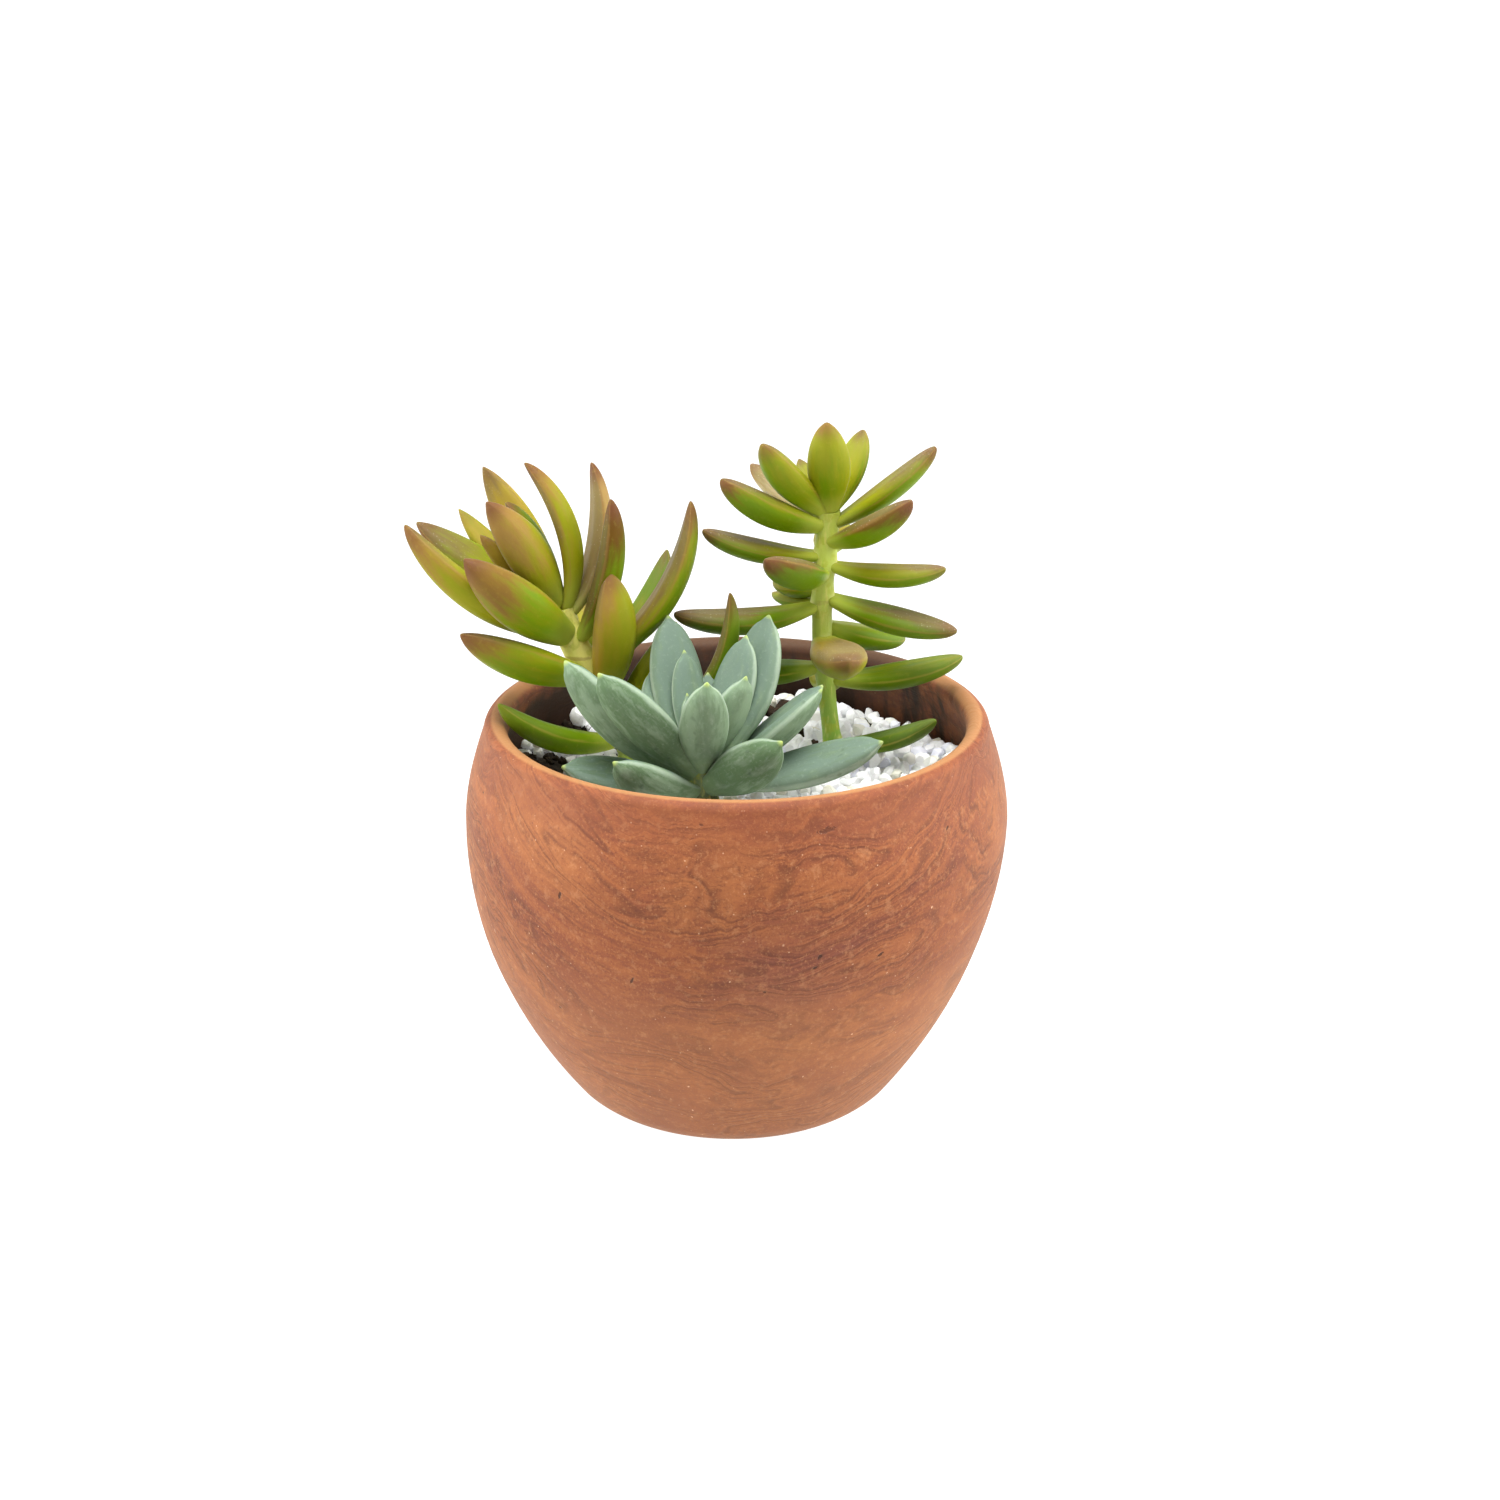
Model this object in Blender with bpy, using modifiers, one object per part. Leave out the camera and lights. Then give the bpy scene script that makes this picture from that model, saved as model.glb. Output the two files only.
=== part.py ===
"""A succulent dish garden: two leafy sedum shoots and a blue rosette in a round clay bowl.

Run it with  blender --background --python part.py  or from Blender's text editor.
Metres, +Z up. The origin is the centre of the bowl's flat foot, and -Y is the front.
"""

import math
import random
from collections import namedtuple

import bmesh
import bpy
from mathutils import Euler, Matrix, Vector
from mathutils.geometry import interpolate_bezier

MM = 0.001

# Clay bowl, in metres
BOWL_HEIGHT = 0.0985
FOOT_RADIUS = 0.0242
BELLY_RADIUS = 0.065
BELLY_HEIGHT = 0.073
RIM_RADIUS = 0.0602
WALL = 0.0056
LIP_RADIUS = WALL / 2
LIP_HEIGHT = BOWL_HEIGHT - LIP_RADIUS
FLOOR_RADIUS = 0.024
FLOOR_HEIGHT = 0.0075
TURN_STEPS = 40
CURVE_POINTS = 6
LIP_POINTS = 6

# Soil and gravel that fill the bowl
GAP = 0.0003
SOIL_TOP = 0.0745
SOIL_DOME = 0.0010
GRAVEL_BED_TOP = 0.0822
CHIP_COUNT = 175
CHIP_SIZE = 0.0080
CHIP_REACH = 0.72
CHIP_LEAF_REACH = 0.55
CHIP_SINK = 0.0006
CHIP_SEED = 11

# Leaf solids
LEAF_SIDES = 8
LEAF_RINGS = 8
STEM_SIDES_RESOLUTION = 2
PEG_DEPTH = 0.014
STEM_HOLE_GAP = 0.00045

# Edges sharper than this are shown sharp
TURNED_SHARP = math.radians(40)
LEAF_SHARP = math.radians(60)

Leaf = namedtuple("Leaf", "at azimuth rise length width curl roll", defaults=(0.0, 0.0))
LeafForm = namedtuple("LeafForm", "neck belly fullness upper lower thickness")
Shoot = namedtuple("Shoot", "name path radius leaves form lean colour roughness")

# Share of the width at the root, place of the widest part, bluntness, then the depth of the
# upper and lower faces as shares of the thickness, and the thickness as a share of the width
SEDUM_LEAF = LeafForm(neck=0.48, belly=0.56, fullness=0.62, upper=0.36, lower=0.64, thickness=0.62)
ROSETTE_LEAF = LeafForm(neck=0.42, belly=0.60, fullness=0.68, upper=0.36, lower=0.64, thickness=0.52)

# A leaf is: height of its root on the shoot in mm, azimuth and rise of the line from root to tip
# in degrees (azimuth 0 is +X and 270 the front), that line's length and the width in mm, then the
# upward curl and the roll in degrees
TALL_LEAVES = (
    Leaf(116.6, 212, 41, 37, 12.5, 36, 30),
    Leaf(124, 209, 58, 34, 11.0, 20, 20),
    Leaf(118, 190, 37, 47.5, 10.5, 50, 20),
    Leaf(122, 168, 31, 41, 11.0, 15),
    Leaf(124, 148, 35, 35, 6.8, 20),
    Leaf(124, 196, 47, 27, 7.0, 15),
    Leaf(123, 138, 51, 40, 9.0, 30),
    Leaf(124, 174, 62, 28.5, 9.0, 20),
    Leaf(122, 178, 78, 38.5, 8.5, 65),
    Leaf(121, 55, 72, 38, 8.5, 55),
    Leaf(115, 330, 74, 39, 10.0, 35),
    Leaf(107, 200, 24, 35, 12.0, 25, 30),
    Leaf(102, 287, 77, 34, 12.5, 30),
    Leaf(110, 8, 57, 47, 9.5, 62),
    Leaf(109, 50, 38, 37, 9.5, 50),
    Leaf(97, 30, 50, 27, 9.5, 30),
    Leaf(91, 347, 56, 46, 8.5, 80),
    Leaf(91, 200, 21, 34, 10.0, 50, 10),
    Leaf(114, 88, 10, 26, 8.0, 35),
    Leaf(104, 78, 25, 27, 9.0, 40),
    Leaf(96, 100, 6, 23, 8.5, 35),
)
RIGHT_LEAVES = (
    Leaf(144, 266, 73, 25.5, 10.2, 12),
    Leaf(144, 44, 57, 22, 8.5, 18),
    Leaf(144, 211, 47, 27, 10.0, 15, 25),
    Leaf(141, 193, 27, 29, 10.5, 30, 25),
    Leaf(143, 144, 23, 24.5, 8.0, 20),
    Leaf(145, 118, 32, 17, 5.5, 20),
    Leaf(141, 2, 37, 32, 8.5, 22),
    Leaf(137, 328, 31, 27, 10.0, 25, -12),
    Leaf(132, 350, 0, 29, 8.5, 30),
    Leaf(124, 348, -12, 33.3, 9.5, 22, 5),
    Leaf(117, 38, -20, 28, 9.5, 15),
    Leaf(103, 9, 6, 34, 9.5, 30),
    Leaf(134, 189, 14, 30.5, 8.5, 30),
    Leaf(129, 236, 22, 27, 10.0, 30, 25),
    Leaf(122, 123, -9, 22, 6.5, 10),
    Leaf(122, 194, 0, 36.5, 9.5, 34),
    Leaf(113, 283, 6, 26, 13.0, 30),
    Leaf(106, 168, -8, 24, 9.0, 10),
    Leaf(88, 329, 19, 31, 8.0, 25),
    Leaf(135, 80, 2, 25, 8.5, 20),
    Leaf(126, 135, -8, 17, 7.0, 20),
    Leaf(101, 85, -5, 26, 9.0, 20),
)
ROSETTE_LEAVES = (
    Leaf(91, 275, 60, 33, 11.5, 20),
    Leaf(87.5, 322, 36, 29, 12.5, 30, -60),
    Leaf(89, 353, 16, 44, 12.0, 25, 25),
    Leaf(90, 2, 38, 35.5, 10.0, 20, -20),
    Leaf(93, 325, 63, 28, 10.0, 15, -25),
    Leaf(94, 57, 56, 22, 7.5, 10),
    Leaf(92, 50, 61, 33.5, 11.5, 20),
    Leaf(90, 49, 55, 42, 14.0, 25),
    Leaf(90, 111, 55, 40.5, 13.0, 25),
    Leaf(92, 108, 61, 29, 8.5, 15),
    Leaf(90, 122, 43, 31, 12.0, 20),
    Leaf(90, 207, 49, 40, 12.5, 20, 45),
    Leaf(89, 189, 45, 45, 13.5, 25, 40),
    Leaf(88, 192, 13, 34, 12.5, 20, -25),
    Leaf(87, 219, 27, 29, 12.0, 35, 40),
    Leaf(90, 85, 55, 26, 10.0, 25),
    Leaf(90, 20, 33, 36, 11.0, 25),
    Leaf(94, 140, 74, 17, 6.5, 15),
    Leaf(94, 240, 80, 15, 6.0, 15),
    Leaf(94, 10, 76, 15, 6.0, 15),
)

# A shoot's path is a list of places in mm, and its radius falls along it from the first value
# to the second; lean is the way its youngest leaves gather
TALL_SHOOT = Shoot(
    "tall_sedum",
    ((-24.5, 6, 76), (-25, 5, 87), (-29, 3, 96), (-32, 2.5, 102), (-35, 2, 108), (-38, 2, 114),
     (-40.5, 2, 120), (-42, 2, 124)),
    (3.5, 3.3), TALL_LEAVES, SEDUM_LEAF, (-0.55, 0.0, 0.84), (0.47, 0.44, 0.07), 0.42,
)
RIGHT_SHOOT = Shoot(
    "right_sedum",
    ((23.4, 12, 76), (23, 12, 87), (21.6, 13, 100), (20.4, 13, 113), (20.6, 13, 124), (21.2, 13, 135),
     (21.6, 13, 145)),
    (2.75, 1.95), RIGHT_LEAVES, SEDUM_LEAF, (0.0, 0.0, 1.0), (0.36, 0.50, 0.08), 0.42,
)
ROSETTE_SHOOT = Shoot(
    "blue_rosette",
    ((-8, -22, 76), (-8, -22, 84), (-8, -22, 90), (-8, -22, 95)),
    (3.4, 3.0), ROSETTE_LEAVES, ROSETTE_LEAF, (0.0, 0.0, 1.0), (0.33, 0.50, 0.42), 0.62,
)
SHOOTS = (TALL_SHOOT, RIGHT_SHOOT, ROSETTE_SHOOT)

CLAY = (0.60, 0.27, 0.13)
EARTH = (0.07, 0.045, 0.03)
QUARTZ = (0.86, 0.87, 0.86)


def clear_scene():
    for obj in list(bpy.data.objects):
        bpy.data.objects.remove(obj)


def new_collection(name):
    collection = bpy.data.collections.new(name)
    bpy.context.scene.collection.children.link(collection)
    return collection


def material(name, colour, roughness):
    made = bpy.data.materials.new(name)
    made.use_nodes = True
    shader = made.node_tree.nodes["Principled BSDF"]
    shader.inputs["Base Color"].default_value = (*colour, 1.0)
    shader.inputs["Roughness"].default_value = roughness
    shader.inputs["Metallic"].default_value = 0.0
    return made


def mesh_object(name, mesh, collection, finish=None):
    obj = bpy.data.objects.new(name, mesh)
    collection.objects.link(obj)
    if finish:
        obj.data.materials.append(finish)
    return obj


def object_from_bmesh(name, bm, collection, finish=None):
    mesh = bpy.data.meshes.new(name)
    bm.to_mesh(mesh)
    bm.free()
    return mesh_object(name, mesh, collection, finish)


def shade_round(obj, angle):
    obj.data.shade_smooth()
    obj.data.set_sharp_from_angle(angle=angle)


def settled(obj):
    """Applies the object's modifiers by taking its evaluated mesh."""
    graph = bpy.context.evaluated_depsgraph_get()
    mesh = bpy.data.meshes.new_from_object(obj.evaluated_get(graph))
    obj.modifiers.clear()
    obj.data = mesh
    return obj


def curve_points(start, pull_start, pull_end, end):
    """Points (radius, height) of one smooth stretch of a profile, its first point left out."""
    corners = [Vector((r, h, 0)) for r, h in (start, pull_start, pull_end, end)]
    return [(p.x, p.y) for p in interpolate_bezier(*corners, CURVE_POINTS)[1:]]


def bowl_outside():
    """The bowl's outer profile, from the middle of the foot up to the lip."""
    heel = (0.0394, 0.0069)
    belly = (BELLY_RADIUS, BELLY_HEIGHT)
    foot = [(0.0, 0.0), (FOOT_RADIUS, 0.0)]
    foot += curve_points(foot[-1], (0.0316, 0.0006), (0.0364, 0.0038), heel)
    flank = curve_points(heel, (0.0494, 0.0193), (BELLY_RADIUS, 0.0440), belly)
    shoulder = curve_points(belly, (BELLY_RADIUS, 0.0808), (0.0624, 0.0890), (RIM_RADIUS, LIP_HEIGHT))
    return foot + flank + shoulder


def bowl_inside(gap=0.0):
    """The bowl's inner profile, from the middle of the floor up to the lip, moved in by a gap."""
    belly = (BELLY_RADIUS - WALL, BELLY_HEIGHT)
    top = (RIM_RADIUS - WALL, LIP_HEIGHT)
    floor = [(0.0, FLOOR_HEIGHT), (FLOOR_RADIUS, FLOOR_HEIGHT)]
    flank = curve_points(floor[-1], (0.0400, 0.0160), (BELLY_RADIUS - WALL, 0.0440), belly)
    shoulder = curve_points(belly, (BELLY_RADIUS - WALL, 0.0808), (0.0568, 0.0890), top)
    return [(max(r - gap, 0.0), h + gap) for r, h in floor + flank + shoulder]


def bowl_lip():
    """The rounded lip, from its inner side over its crest to its outer side."""
    centre = RIM_RADIUS - LIP_RADIUS
    angles = [math.pi * (1 - i / (LIP_POINTS - 1)) for i in range(1, LIP_POINTS - 1)]
    return [(centre + LIP_RADIUS * math.cos(a), LIP_HEIGHT + LIP_RADIUS * math.sin(a)) for a in angles]


def radius_at(profile, height):
    """The radius of a rising profile at a height."""
    for (r0, h0), (r1, h1) in zip(profile, profile[1:]):
        if h0 <= height <= h1 and h1 > h0:
            return r0 + (r1 - r0) * (height - h0) / (h1 - h0)
    raise ValueError(f"the profile doesn't reach {height}")


def turned(name, profile, steps, collection, finish):
    """A solid turned about the Z axis. The profile ends by running down its outer side."""
    bm = bmesh.new()
    points = [bm.verts.new((r, 0.0, h)) for r, h in profile]
    for a, b in zip(points, points[1:]):
        bm.edges.new((a, b))
    obj = object_from_bmesh(name, bm, collection, finish)
    screw = obj.modifiers.new("Turn", "SCREW")
    screw.axis = "Z"
    screw.steps = steps
    screw.render_steps = steps
    screw.use_merge_vertices = True
    screw.merge_threshold = 0.00005
    return obj


def make_bowl(collection):
    profile = bowl_inside() + bowl_lip() + bowl_outside()[::-1]
    clay = material("clay", CLAY, 0.75)
    bowl = settled(turned("bowl", profile, TURN_STEPS, collection, clay))
    shade_round(bowl, TURNED_SHARP)
    return bowl


def make_soil(collection):
    """The soil fills the bowl to just under the gravel."""
    wall = bowl_inside(GAP)
    sides = [(r, h) for r, h in wall if h < SOIL_TOP - 0.002]
    top = [(0.0, SOIL_TOP + SOIL_DOME), (0.03, SOIL_TOP + SOIL_DOME / 2), (radius_at(wall, SOIL_TOP), SOIL_TOP)]
    soil = settled(turned("soil", top + sides[::-1], TURN_STEPS, collection, material("earth", EARTH, 0.95)))
    shade_round(soil, TURNED_SHARP)
    return soil


def leaf_width(t, form):
    """Share of a leaf's full width at t, from its root at 0 to its tip at 1."""
    power = math.log(0.5) / math.log(form.belly)
    swell = math.sin(math.pi * t**power) ** form.fullness
    return math.hypot(swell, form.neck * (1 - t) ** 2)


def leaf_section(angle, form):
    """A leaf's cross-section: sideways and up, as shares of its half width and thickness."""
    side, lift = math.cos(angle), math.sin(angle)
    if lift > 0:
        return side, form.upper * (1.5 * lift - 0.5 * lift**4)
    keel = 0.8 * -lift + 0.2 * (1 - abs(side))
    return side, -form.lower * keel


def arc_point(t, length, curl):
    """A point of the leaf's midline and its slope there, along and above the line root to tip."""
    if abs(curl) < 1e-4:
        return length * t, 0.0, 0.0
    radius = length / (2 * math.sin(curl / 2))
    turn = curl * (t - 0.5)
    along = radius * (math.sin(turn) + math.sin(curl / 2))
    return along, radius * (math.cos(curl / 2) - math.cos(turn)), turn


def direction(azimuth, rise):
    az, up = math.radians(azimuth), math.radians(rise)
    return Vector((math.cos(az) * math.cos(up), math.sin(az) * math.cos(up), math.sin(up)))


def leaf_frame(root, leaf, lean):
    """Matrix of a leaf: X from root to tip, Z out of its upper face, which turns to the shoot."""
    ahead = direction(leaf.azimuth, leaf.rise)
    face = lean - ahead * lean.dot(ahead)
    if face.length < 0.08:
        face = direction(leaf.azimuth, leaf.rise + 90)
    face.normalize()
    face.rotate(Matrix.Rotation(math.radians(leaf.roll), 3, ahead))
    side = face.cross(ahead)
    frame = Matrix((ahead, side, face)).transposed().to_4x4()
    frame.translation = root
    return frame


def leaf_midline(leaf, frame, count=12):
    """Places along a leaf's midline."""
    steps = [arc_point(i / count, leaf.length * MM, math.radians(leaf.curl)) for i in range(count + 1)]
    return [frame @ Vector((along, 0.0, above)) for along, above, _ in steps]


def make_leaf(leaf, form, frame, collection):
    """One fleshy leaf: a sphere drawn out along the midline, its poles the root and the tip."""
    bm = bmesh.new()
    bmesh.ops.create_uvsphere(bm, u_segments=LEAF_SIDES, v_segments=LEAF_RINGS, radius=1.0)
    half, thick = leaf.width * MM / 2, leaf.width * MM * form.thickness
    for vert in bm.verts:
        t = (1 + vert.co.z) / 2
        ring = math.hypot(vert.co.x, vert.co.y)
        side, lift = leaf_section(math.atan2(vert.co.y, vert.co.x), form) if ring > 1e-4 else (0, 0)
        share = leaf_width(t, form)
        along, above, turn = arc_point(t, leaf.length * MM, math.radians(leaf.curl))
        lift *= thick * share
        vert.co = frame @ Vector(
            (along - lift * math.sin(turn), side * half * share, above + lift * math.cos(turn))
        )
    bmesh.ops.recalc_face_normals(bm, faces=bm.faces)
    return object_from_bmesh("leaf", bm, collection)


def smooth_path(points, steps):
    """A smooth run of places through the points of a path."""
    ends = [points[0] * 2 - points[1], *points, points[-1] * 2 - points[-2]]
    run = []
    for a, b, c, d in zip(ends, ends[1:], ends[2:], ends[3:]):
        for i in range(steps):
            t = i / steps
            run.append(
                0.5 * (2 * b + (c - a) * t + (2 * a - 5 * b + 4 * c - d) * t * t
                       + (3 * b - a - 3 * c + d) * t**3)
            )
    return [*run, points[-1]]


def stem_path(shoot):
    return smooth_path([Vector(p) * MM for p in shoot.path], 3)


def place_at_height(path, height):
    """The place on a stem at a height."""
    for a, b in zip(path, path[1:]):
        if a.z <= height <= b.z:
            return a.lerp(b, (height - a.z) / (b.z - a.z))
    return path[-1].copy()


def make_stem(name, path, radii, collection, finish=None):
    """A round stem along a path, thinning from its foot to its top, as a closed mesh."""
    curve = bpy.data.curves.new(name, "CURVE")
    curve.dimensions = "3D"
    curve.bevel_depth = 1.0
    curve.bevel_resolution = STEM_SIDES_RESOLUTION
    curve.use_fill_caps = True
    spline = curve.splines.new("POLY")
    spline.points.add(len(path) - 1)
    for i, (point, place) in enumerate(zip(spline.points, path)):
        share = i / (len(path) - 1)
        point.co = (*place, 1.0)
        point.radius = radii[0] * (1 - share) + radii[1] * share
    drawn = bpy.data.objects.new(name + "_line", curve)
    collection.objects.link(drawn)
    graph = bpy.context.evaluated_depsgraph_get()
    mesh = bpy.data.meshes.new_from_object(drawn.evaluated_get(graph))
    bm = bmesh.new()
    bm.from_mesh(mesh)
    bmesh.ops.remove_doubles(bm, verts=bm.verts, dist=0.00001)
    bm.to_mesh(mesh)
    bm.free()
    bpy.data.objects.remove(drawn)
    return mesh_object(name, mesh, collection, finish)


def boolean(obj, operation, other, solver="EXACT"):
    """Joins or cuts obj with another object, or with all the objects of a collection."""
    modifier = obj.modifiers.new(operation.title(), "BOOLEAN")
    modifier.operation = operation
    modifier.solver = solver
    if isinstance(other, bpy.types.Collection):
        modifier.operand_type = "COLLECTION"
        modifier.collection = other
    else:
        modifier.object = other
    return settled(obj)


def keep_outer_skin(obj):
    """Keeps an object's largest skin, so a sealed gap between roots is solid and no scrap is left."""
    bm = bmesh.new()
    bm.from_mesh(obj.data)
    skins = []
    left = set(bm.verts)
    while left:
        skin = {left.pop()}
        front = list(skin)
        while front:
            vert = front.pop()
            near = {edge.other_vert(vert) for edge in vert.link_edges} - skin
            skin |= near
            front += near
        left -= skin
        skins.append(skin)
    outer = max(skins, key=len)
    bmesh.ops.delete(bm, geom=[vert for vert in bm.verts if vert not in outer], context="VERTS")
    bm.to_mesh(obj.data)
    bm.free()


def split_faces(obj):
    """Splits every face across its shorter diagonal, which gives the same solid on every run."""
    bm = bmesh.new()
    bm.from_mesh(obj.data)
    bmesh.ops.triangulate(bm, faces=bm.faces, quad_method="SHORT_EDGE", ngon_method="BEAUTY")
    bm.to_mesh(obj.data)
    bm.free()


def remove_all(collection):
    for obj in list(collection.objects):
        bpy.data.objects.remove(obj)
    bpy.data.collections.remove(collection)


def lean_at(shoot, share):
    """The way a shoot points at a share of its height: straight up below, its own lean at its top."""
    return Vector((0.0, 0.0, 1.0)).lerp(Vector(shoot.lean), share).normalized()


def shoot_leaves(shoot):
    """Each leaf of a shoot with its frame."""
    path = stem_path(shoot)
    low, high = shoot.path[1][2], shoot.path[-1][2]
    for leaf in shoot.leaves:
        share = min(1.0, max(0.0, (leaf.at - low) / (high - low)))
        yield leaf, leaf_frame(place_at_height(path, leaf.at * MM), leaf, lean_at(shoot, share))


def make_shoot(shoot, collection):
    """A stem with all its leaves joined to it. Its peg stands in the gravel and soil."""
    finish = material(shoot.name, shoot.colour, shoot.roughness)
    path = stem_path(shoot)
    peg = path[0] - Vector((0, 0, PEG_DEPTH))
    radii = [r * MM for r in shoot.radius]
    stem = make_stem(shoot.name, [peg, *path], radii, collection, finish)
    leaves = new_collection(shoot.name + "_leaves")
    for leaf, frame in shoot_leaves(shoot):
        make_leaf(leaf, shoot.form, frame, leaves)
    boolean(stem, "UNION", leaves)
    remove_all(leaves)
    keep_outer_skin(stem)
    split_faces(stem)
    shade_round(stem, LEAF_SHARP)
    return stem


def stem_cutters(collection):
    """Plain round holes for the stems, one gap wider than they are."""
    for shoot in SHOOTS:
        path = stem_path(shoot)
        peg = path[0] - Vector((0, 0, PEG_DEPTH + GAP))
        radius = shoot.radius[0] * MM + STEM_HOLE_GAP
        cutter = make_stem(shoot.name + "_hole", [peg, *path[:6]], (radius, radius), collection)
        cutter.hide_render = True
        cutter.display_type = "WIRE"


def clear_of_leaves(place, reach, midlines):
    """Whether a chip of this reach lies clear of every leaf."""
    return all((place - point).length > reach + half for point, half in midlines)


def make_chip(place, size, draw, collection):
    """An angular stone chip: a cube with its corners shifted, turned at random."""
    bm = bmesh.new()
    bmesh.ops.create_cube(bm, size=1.0)
    for vert in bm.verts:
        vert.co *= draw.uniform(0.72, 1.0)
    shape = Vector((draw.uniform(0.85, 1.1), draw.uniform(0.75, 0.95), draw.uniform(0.6, 0.8))) * size
    turn = Euler((draw.uniform(-0.5, 0.5), draw.uniform(-0.5, 0.5), draw.uniform(0, math.tau)))
    matrix = Matrix.LocRotScale(place, turn, shape)
    bmesh.ops.transform(bm, matrix=matrix, verts=bm.verts)
    return object_from_bmesh("chip", bm, collection)


def make_gravel(collection, holes):
    """A bed of white chips on the soil, with a plain hole round each stem."""
    wall = bowl_inside(GAP)
    low = SOIL_TOP + SOIL_DOME + GAP
    edge, foot = radius_at(wall, GRAVEL_BED_TOP), radius_at(wall, low)
    bed_profile = [(0.0, GRAVEL_BED_TOP), (edge, GRAVEL_BED_TOP), (foot - GAP, low), (0.0, low)]
    bed = settled(turned("gravel", bed_profile, TURN_STEPS, collection, material("quartz", QUARTZ, 0.6)))
    midlines = [
        (point, leaf.width * MM * shoot.form.thickness * shoot.form.lower)
        for shoot in SHOOTS
        for leaf, frame in shoot_leaves(shoot)
        for point in leaf_midline(leaf, frame)[3:]
    ]
    draw = random.Random(CHIP_SEED)
    chips = new_collection("chips")
    golden = math.pi * (3 - math.sqrt(5))
    reach = CHIP_SIZE * CHIP_REACH
    for i in range(CHIP_COUNT):
        out = (edge - reach) * math.sqrt((i + 0.5) / CHIP_COUNT)
        place = Vector((out * math.cos(i * golden), out * math.sin(i * golden), GRAVEL_BED_TOP - CHIP_SINK))
        size = CHIP_SIZE * draw.uniform(0.85, 1.05)
        if clear_of_leaves(place, size * CHIP_LEAF_REACH, midlines):
            make_chip(place, size, draw, chips)
    boolean(bed, "UNION", chips, "MANIFOLD")
    remove_all(chips)
    boolean(bed, "DIFFERENCE", holes)
    keep_outer_skin(bed)
    bed.data.shade_flat()
    return bed


def main():
    clear_scene()
    garden = new_collection("dish_garden")
    holes = new_collection("cutters")
    make_bowl(garden)
    soil = make_soil(garden)
    stem_cutters(holes)
    boolean(soil, "DIFFERENCE", holes)
    make_gravel(garden, holes)
    for shoot in SHOOTS:
        make_shoot(shoot, garden)


main()
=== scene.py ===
# %% [markdown]
# A succulent dish garden
#
# Two leafy stonecrop shoots and a blue-grey rosette grow in a round clay bowl, with white quartz
# gravel over the soil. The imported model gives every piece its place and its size. This script gives
# each piece its fine surface and its finish: it loads the model, builds each piece where its plain
# solid stands, and leaves the plain solids hidden.

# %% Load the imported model
import math
import random
from collections import namedtuple

import bpy
import numpy as np
from mathutils import Matrix, Vector, noise
from mathutils.geometry import interpolate_bezier


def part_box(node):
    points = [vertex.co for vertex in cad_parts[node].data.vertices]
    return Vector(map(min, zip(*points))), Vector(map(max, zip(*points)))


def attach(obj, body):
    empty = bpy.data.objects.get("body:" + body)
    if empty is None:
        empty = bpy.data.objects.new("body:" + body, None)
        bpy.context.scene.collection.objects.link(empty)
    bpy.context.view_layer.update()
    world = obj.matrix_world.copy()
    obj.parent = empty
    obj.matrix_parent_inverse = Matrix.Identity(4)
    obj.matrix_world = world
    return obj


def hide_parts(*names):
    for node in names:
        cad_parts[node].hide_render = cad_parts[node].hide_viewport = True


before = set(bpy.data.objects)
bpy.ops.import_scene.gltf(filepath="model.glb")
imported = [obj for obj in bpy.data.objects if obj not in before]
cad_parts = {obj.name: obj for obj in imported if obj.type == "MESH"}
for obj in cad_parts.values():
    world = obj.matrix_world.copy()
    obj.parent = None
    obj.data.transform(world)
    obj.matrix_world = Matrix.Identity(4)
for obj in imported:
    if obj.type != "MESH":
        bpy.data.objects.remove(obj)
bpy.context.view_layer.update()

MM = 0.001
bowl_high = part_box("bowl")[1]

# %% [markdown]
# The photograph looks slightly down on the bowl with a long lens. The camera stands on a line from
# the middle of the object, so its height follows from one angle and one distance. A camera made
# by an operator would do as well, but here its place is worked out, so it is made from its data.

# %% Camera
AIM = Vector((3.15, 0.0, 89.2)) * MM
CAMERA_DISTANCE = 0.836
CAMERA_RISE = math.radians(20.3)
LENS_MM = 83.9


def add_object(name, data):
    """An object with this data, in the scene."""
    obj = bpy.data.objects.new(name, data)
    bpy.context.scene.collection.objects.link(obj)
    return obj


def add_camera():
    towards_camera = Vector((0.0, -math.cos(CAMERA_RISE), math.sin(CAMERA_RISE)))
    data = bpy.data.cameras.new("camera")
    data.lens = LENS_MM
    data.sensor_width = 36.0
    data.clip_start = 0.01
    camera = add_object("camera", data)
    camera.location = AIM + towards_camera * CAMERA_DISTANCE
    camera.rotation_euler = (math.pi / 2 - CAMERA_RISE, 0.0, 0.0)
    bpy.context.scene.camera = camera


add_camera()
bpy.context.scene.view_settings.view_transform = "Standard"

# %% [markdown]
# Small helpers for modelling come next. Every operator works on what is selected, so one helper
# deselects all and picks one object, one adds a primitive with nothing else selected, and another
# merges finished copies into one piece.


# %% Modelling helpers
def pick(*objects):
    """Selects these objects alone and makes the first one active."""
    if bpy.context.object and bpy.context.object.mode != "OBJECT":
        bpy.ops.object.mode_set(mode="OBJECT")
    bpy.ops.object.select_all(action="DESELECT")
    for obj in objects:
        obj.select_set(True)
    bpy.context.view_layer.objects.active = objects[0]


def add_alone(add_primitive, **settings):
    """Adds a primitive by its operator while nothing else is selected."""
    bpy.ops.object.select_all(action="DESELECT")
    add_primitive(**settings)
    return bpy.context.object


def join(name, objects):
    """Merges objects into one piece with this name."""
    pick(*objects)
    if len(objects) > 1:
        bpy.ops.object.join()
    piece = bpy.context.object
    piece.name = name
    piece.data.name = name
    return piece


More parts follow.
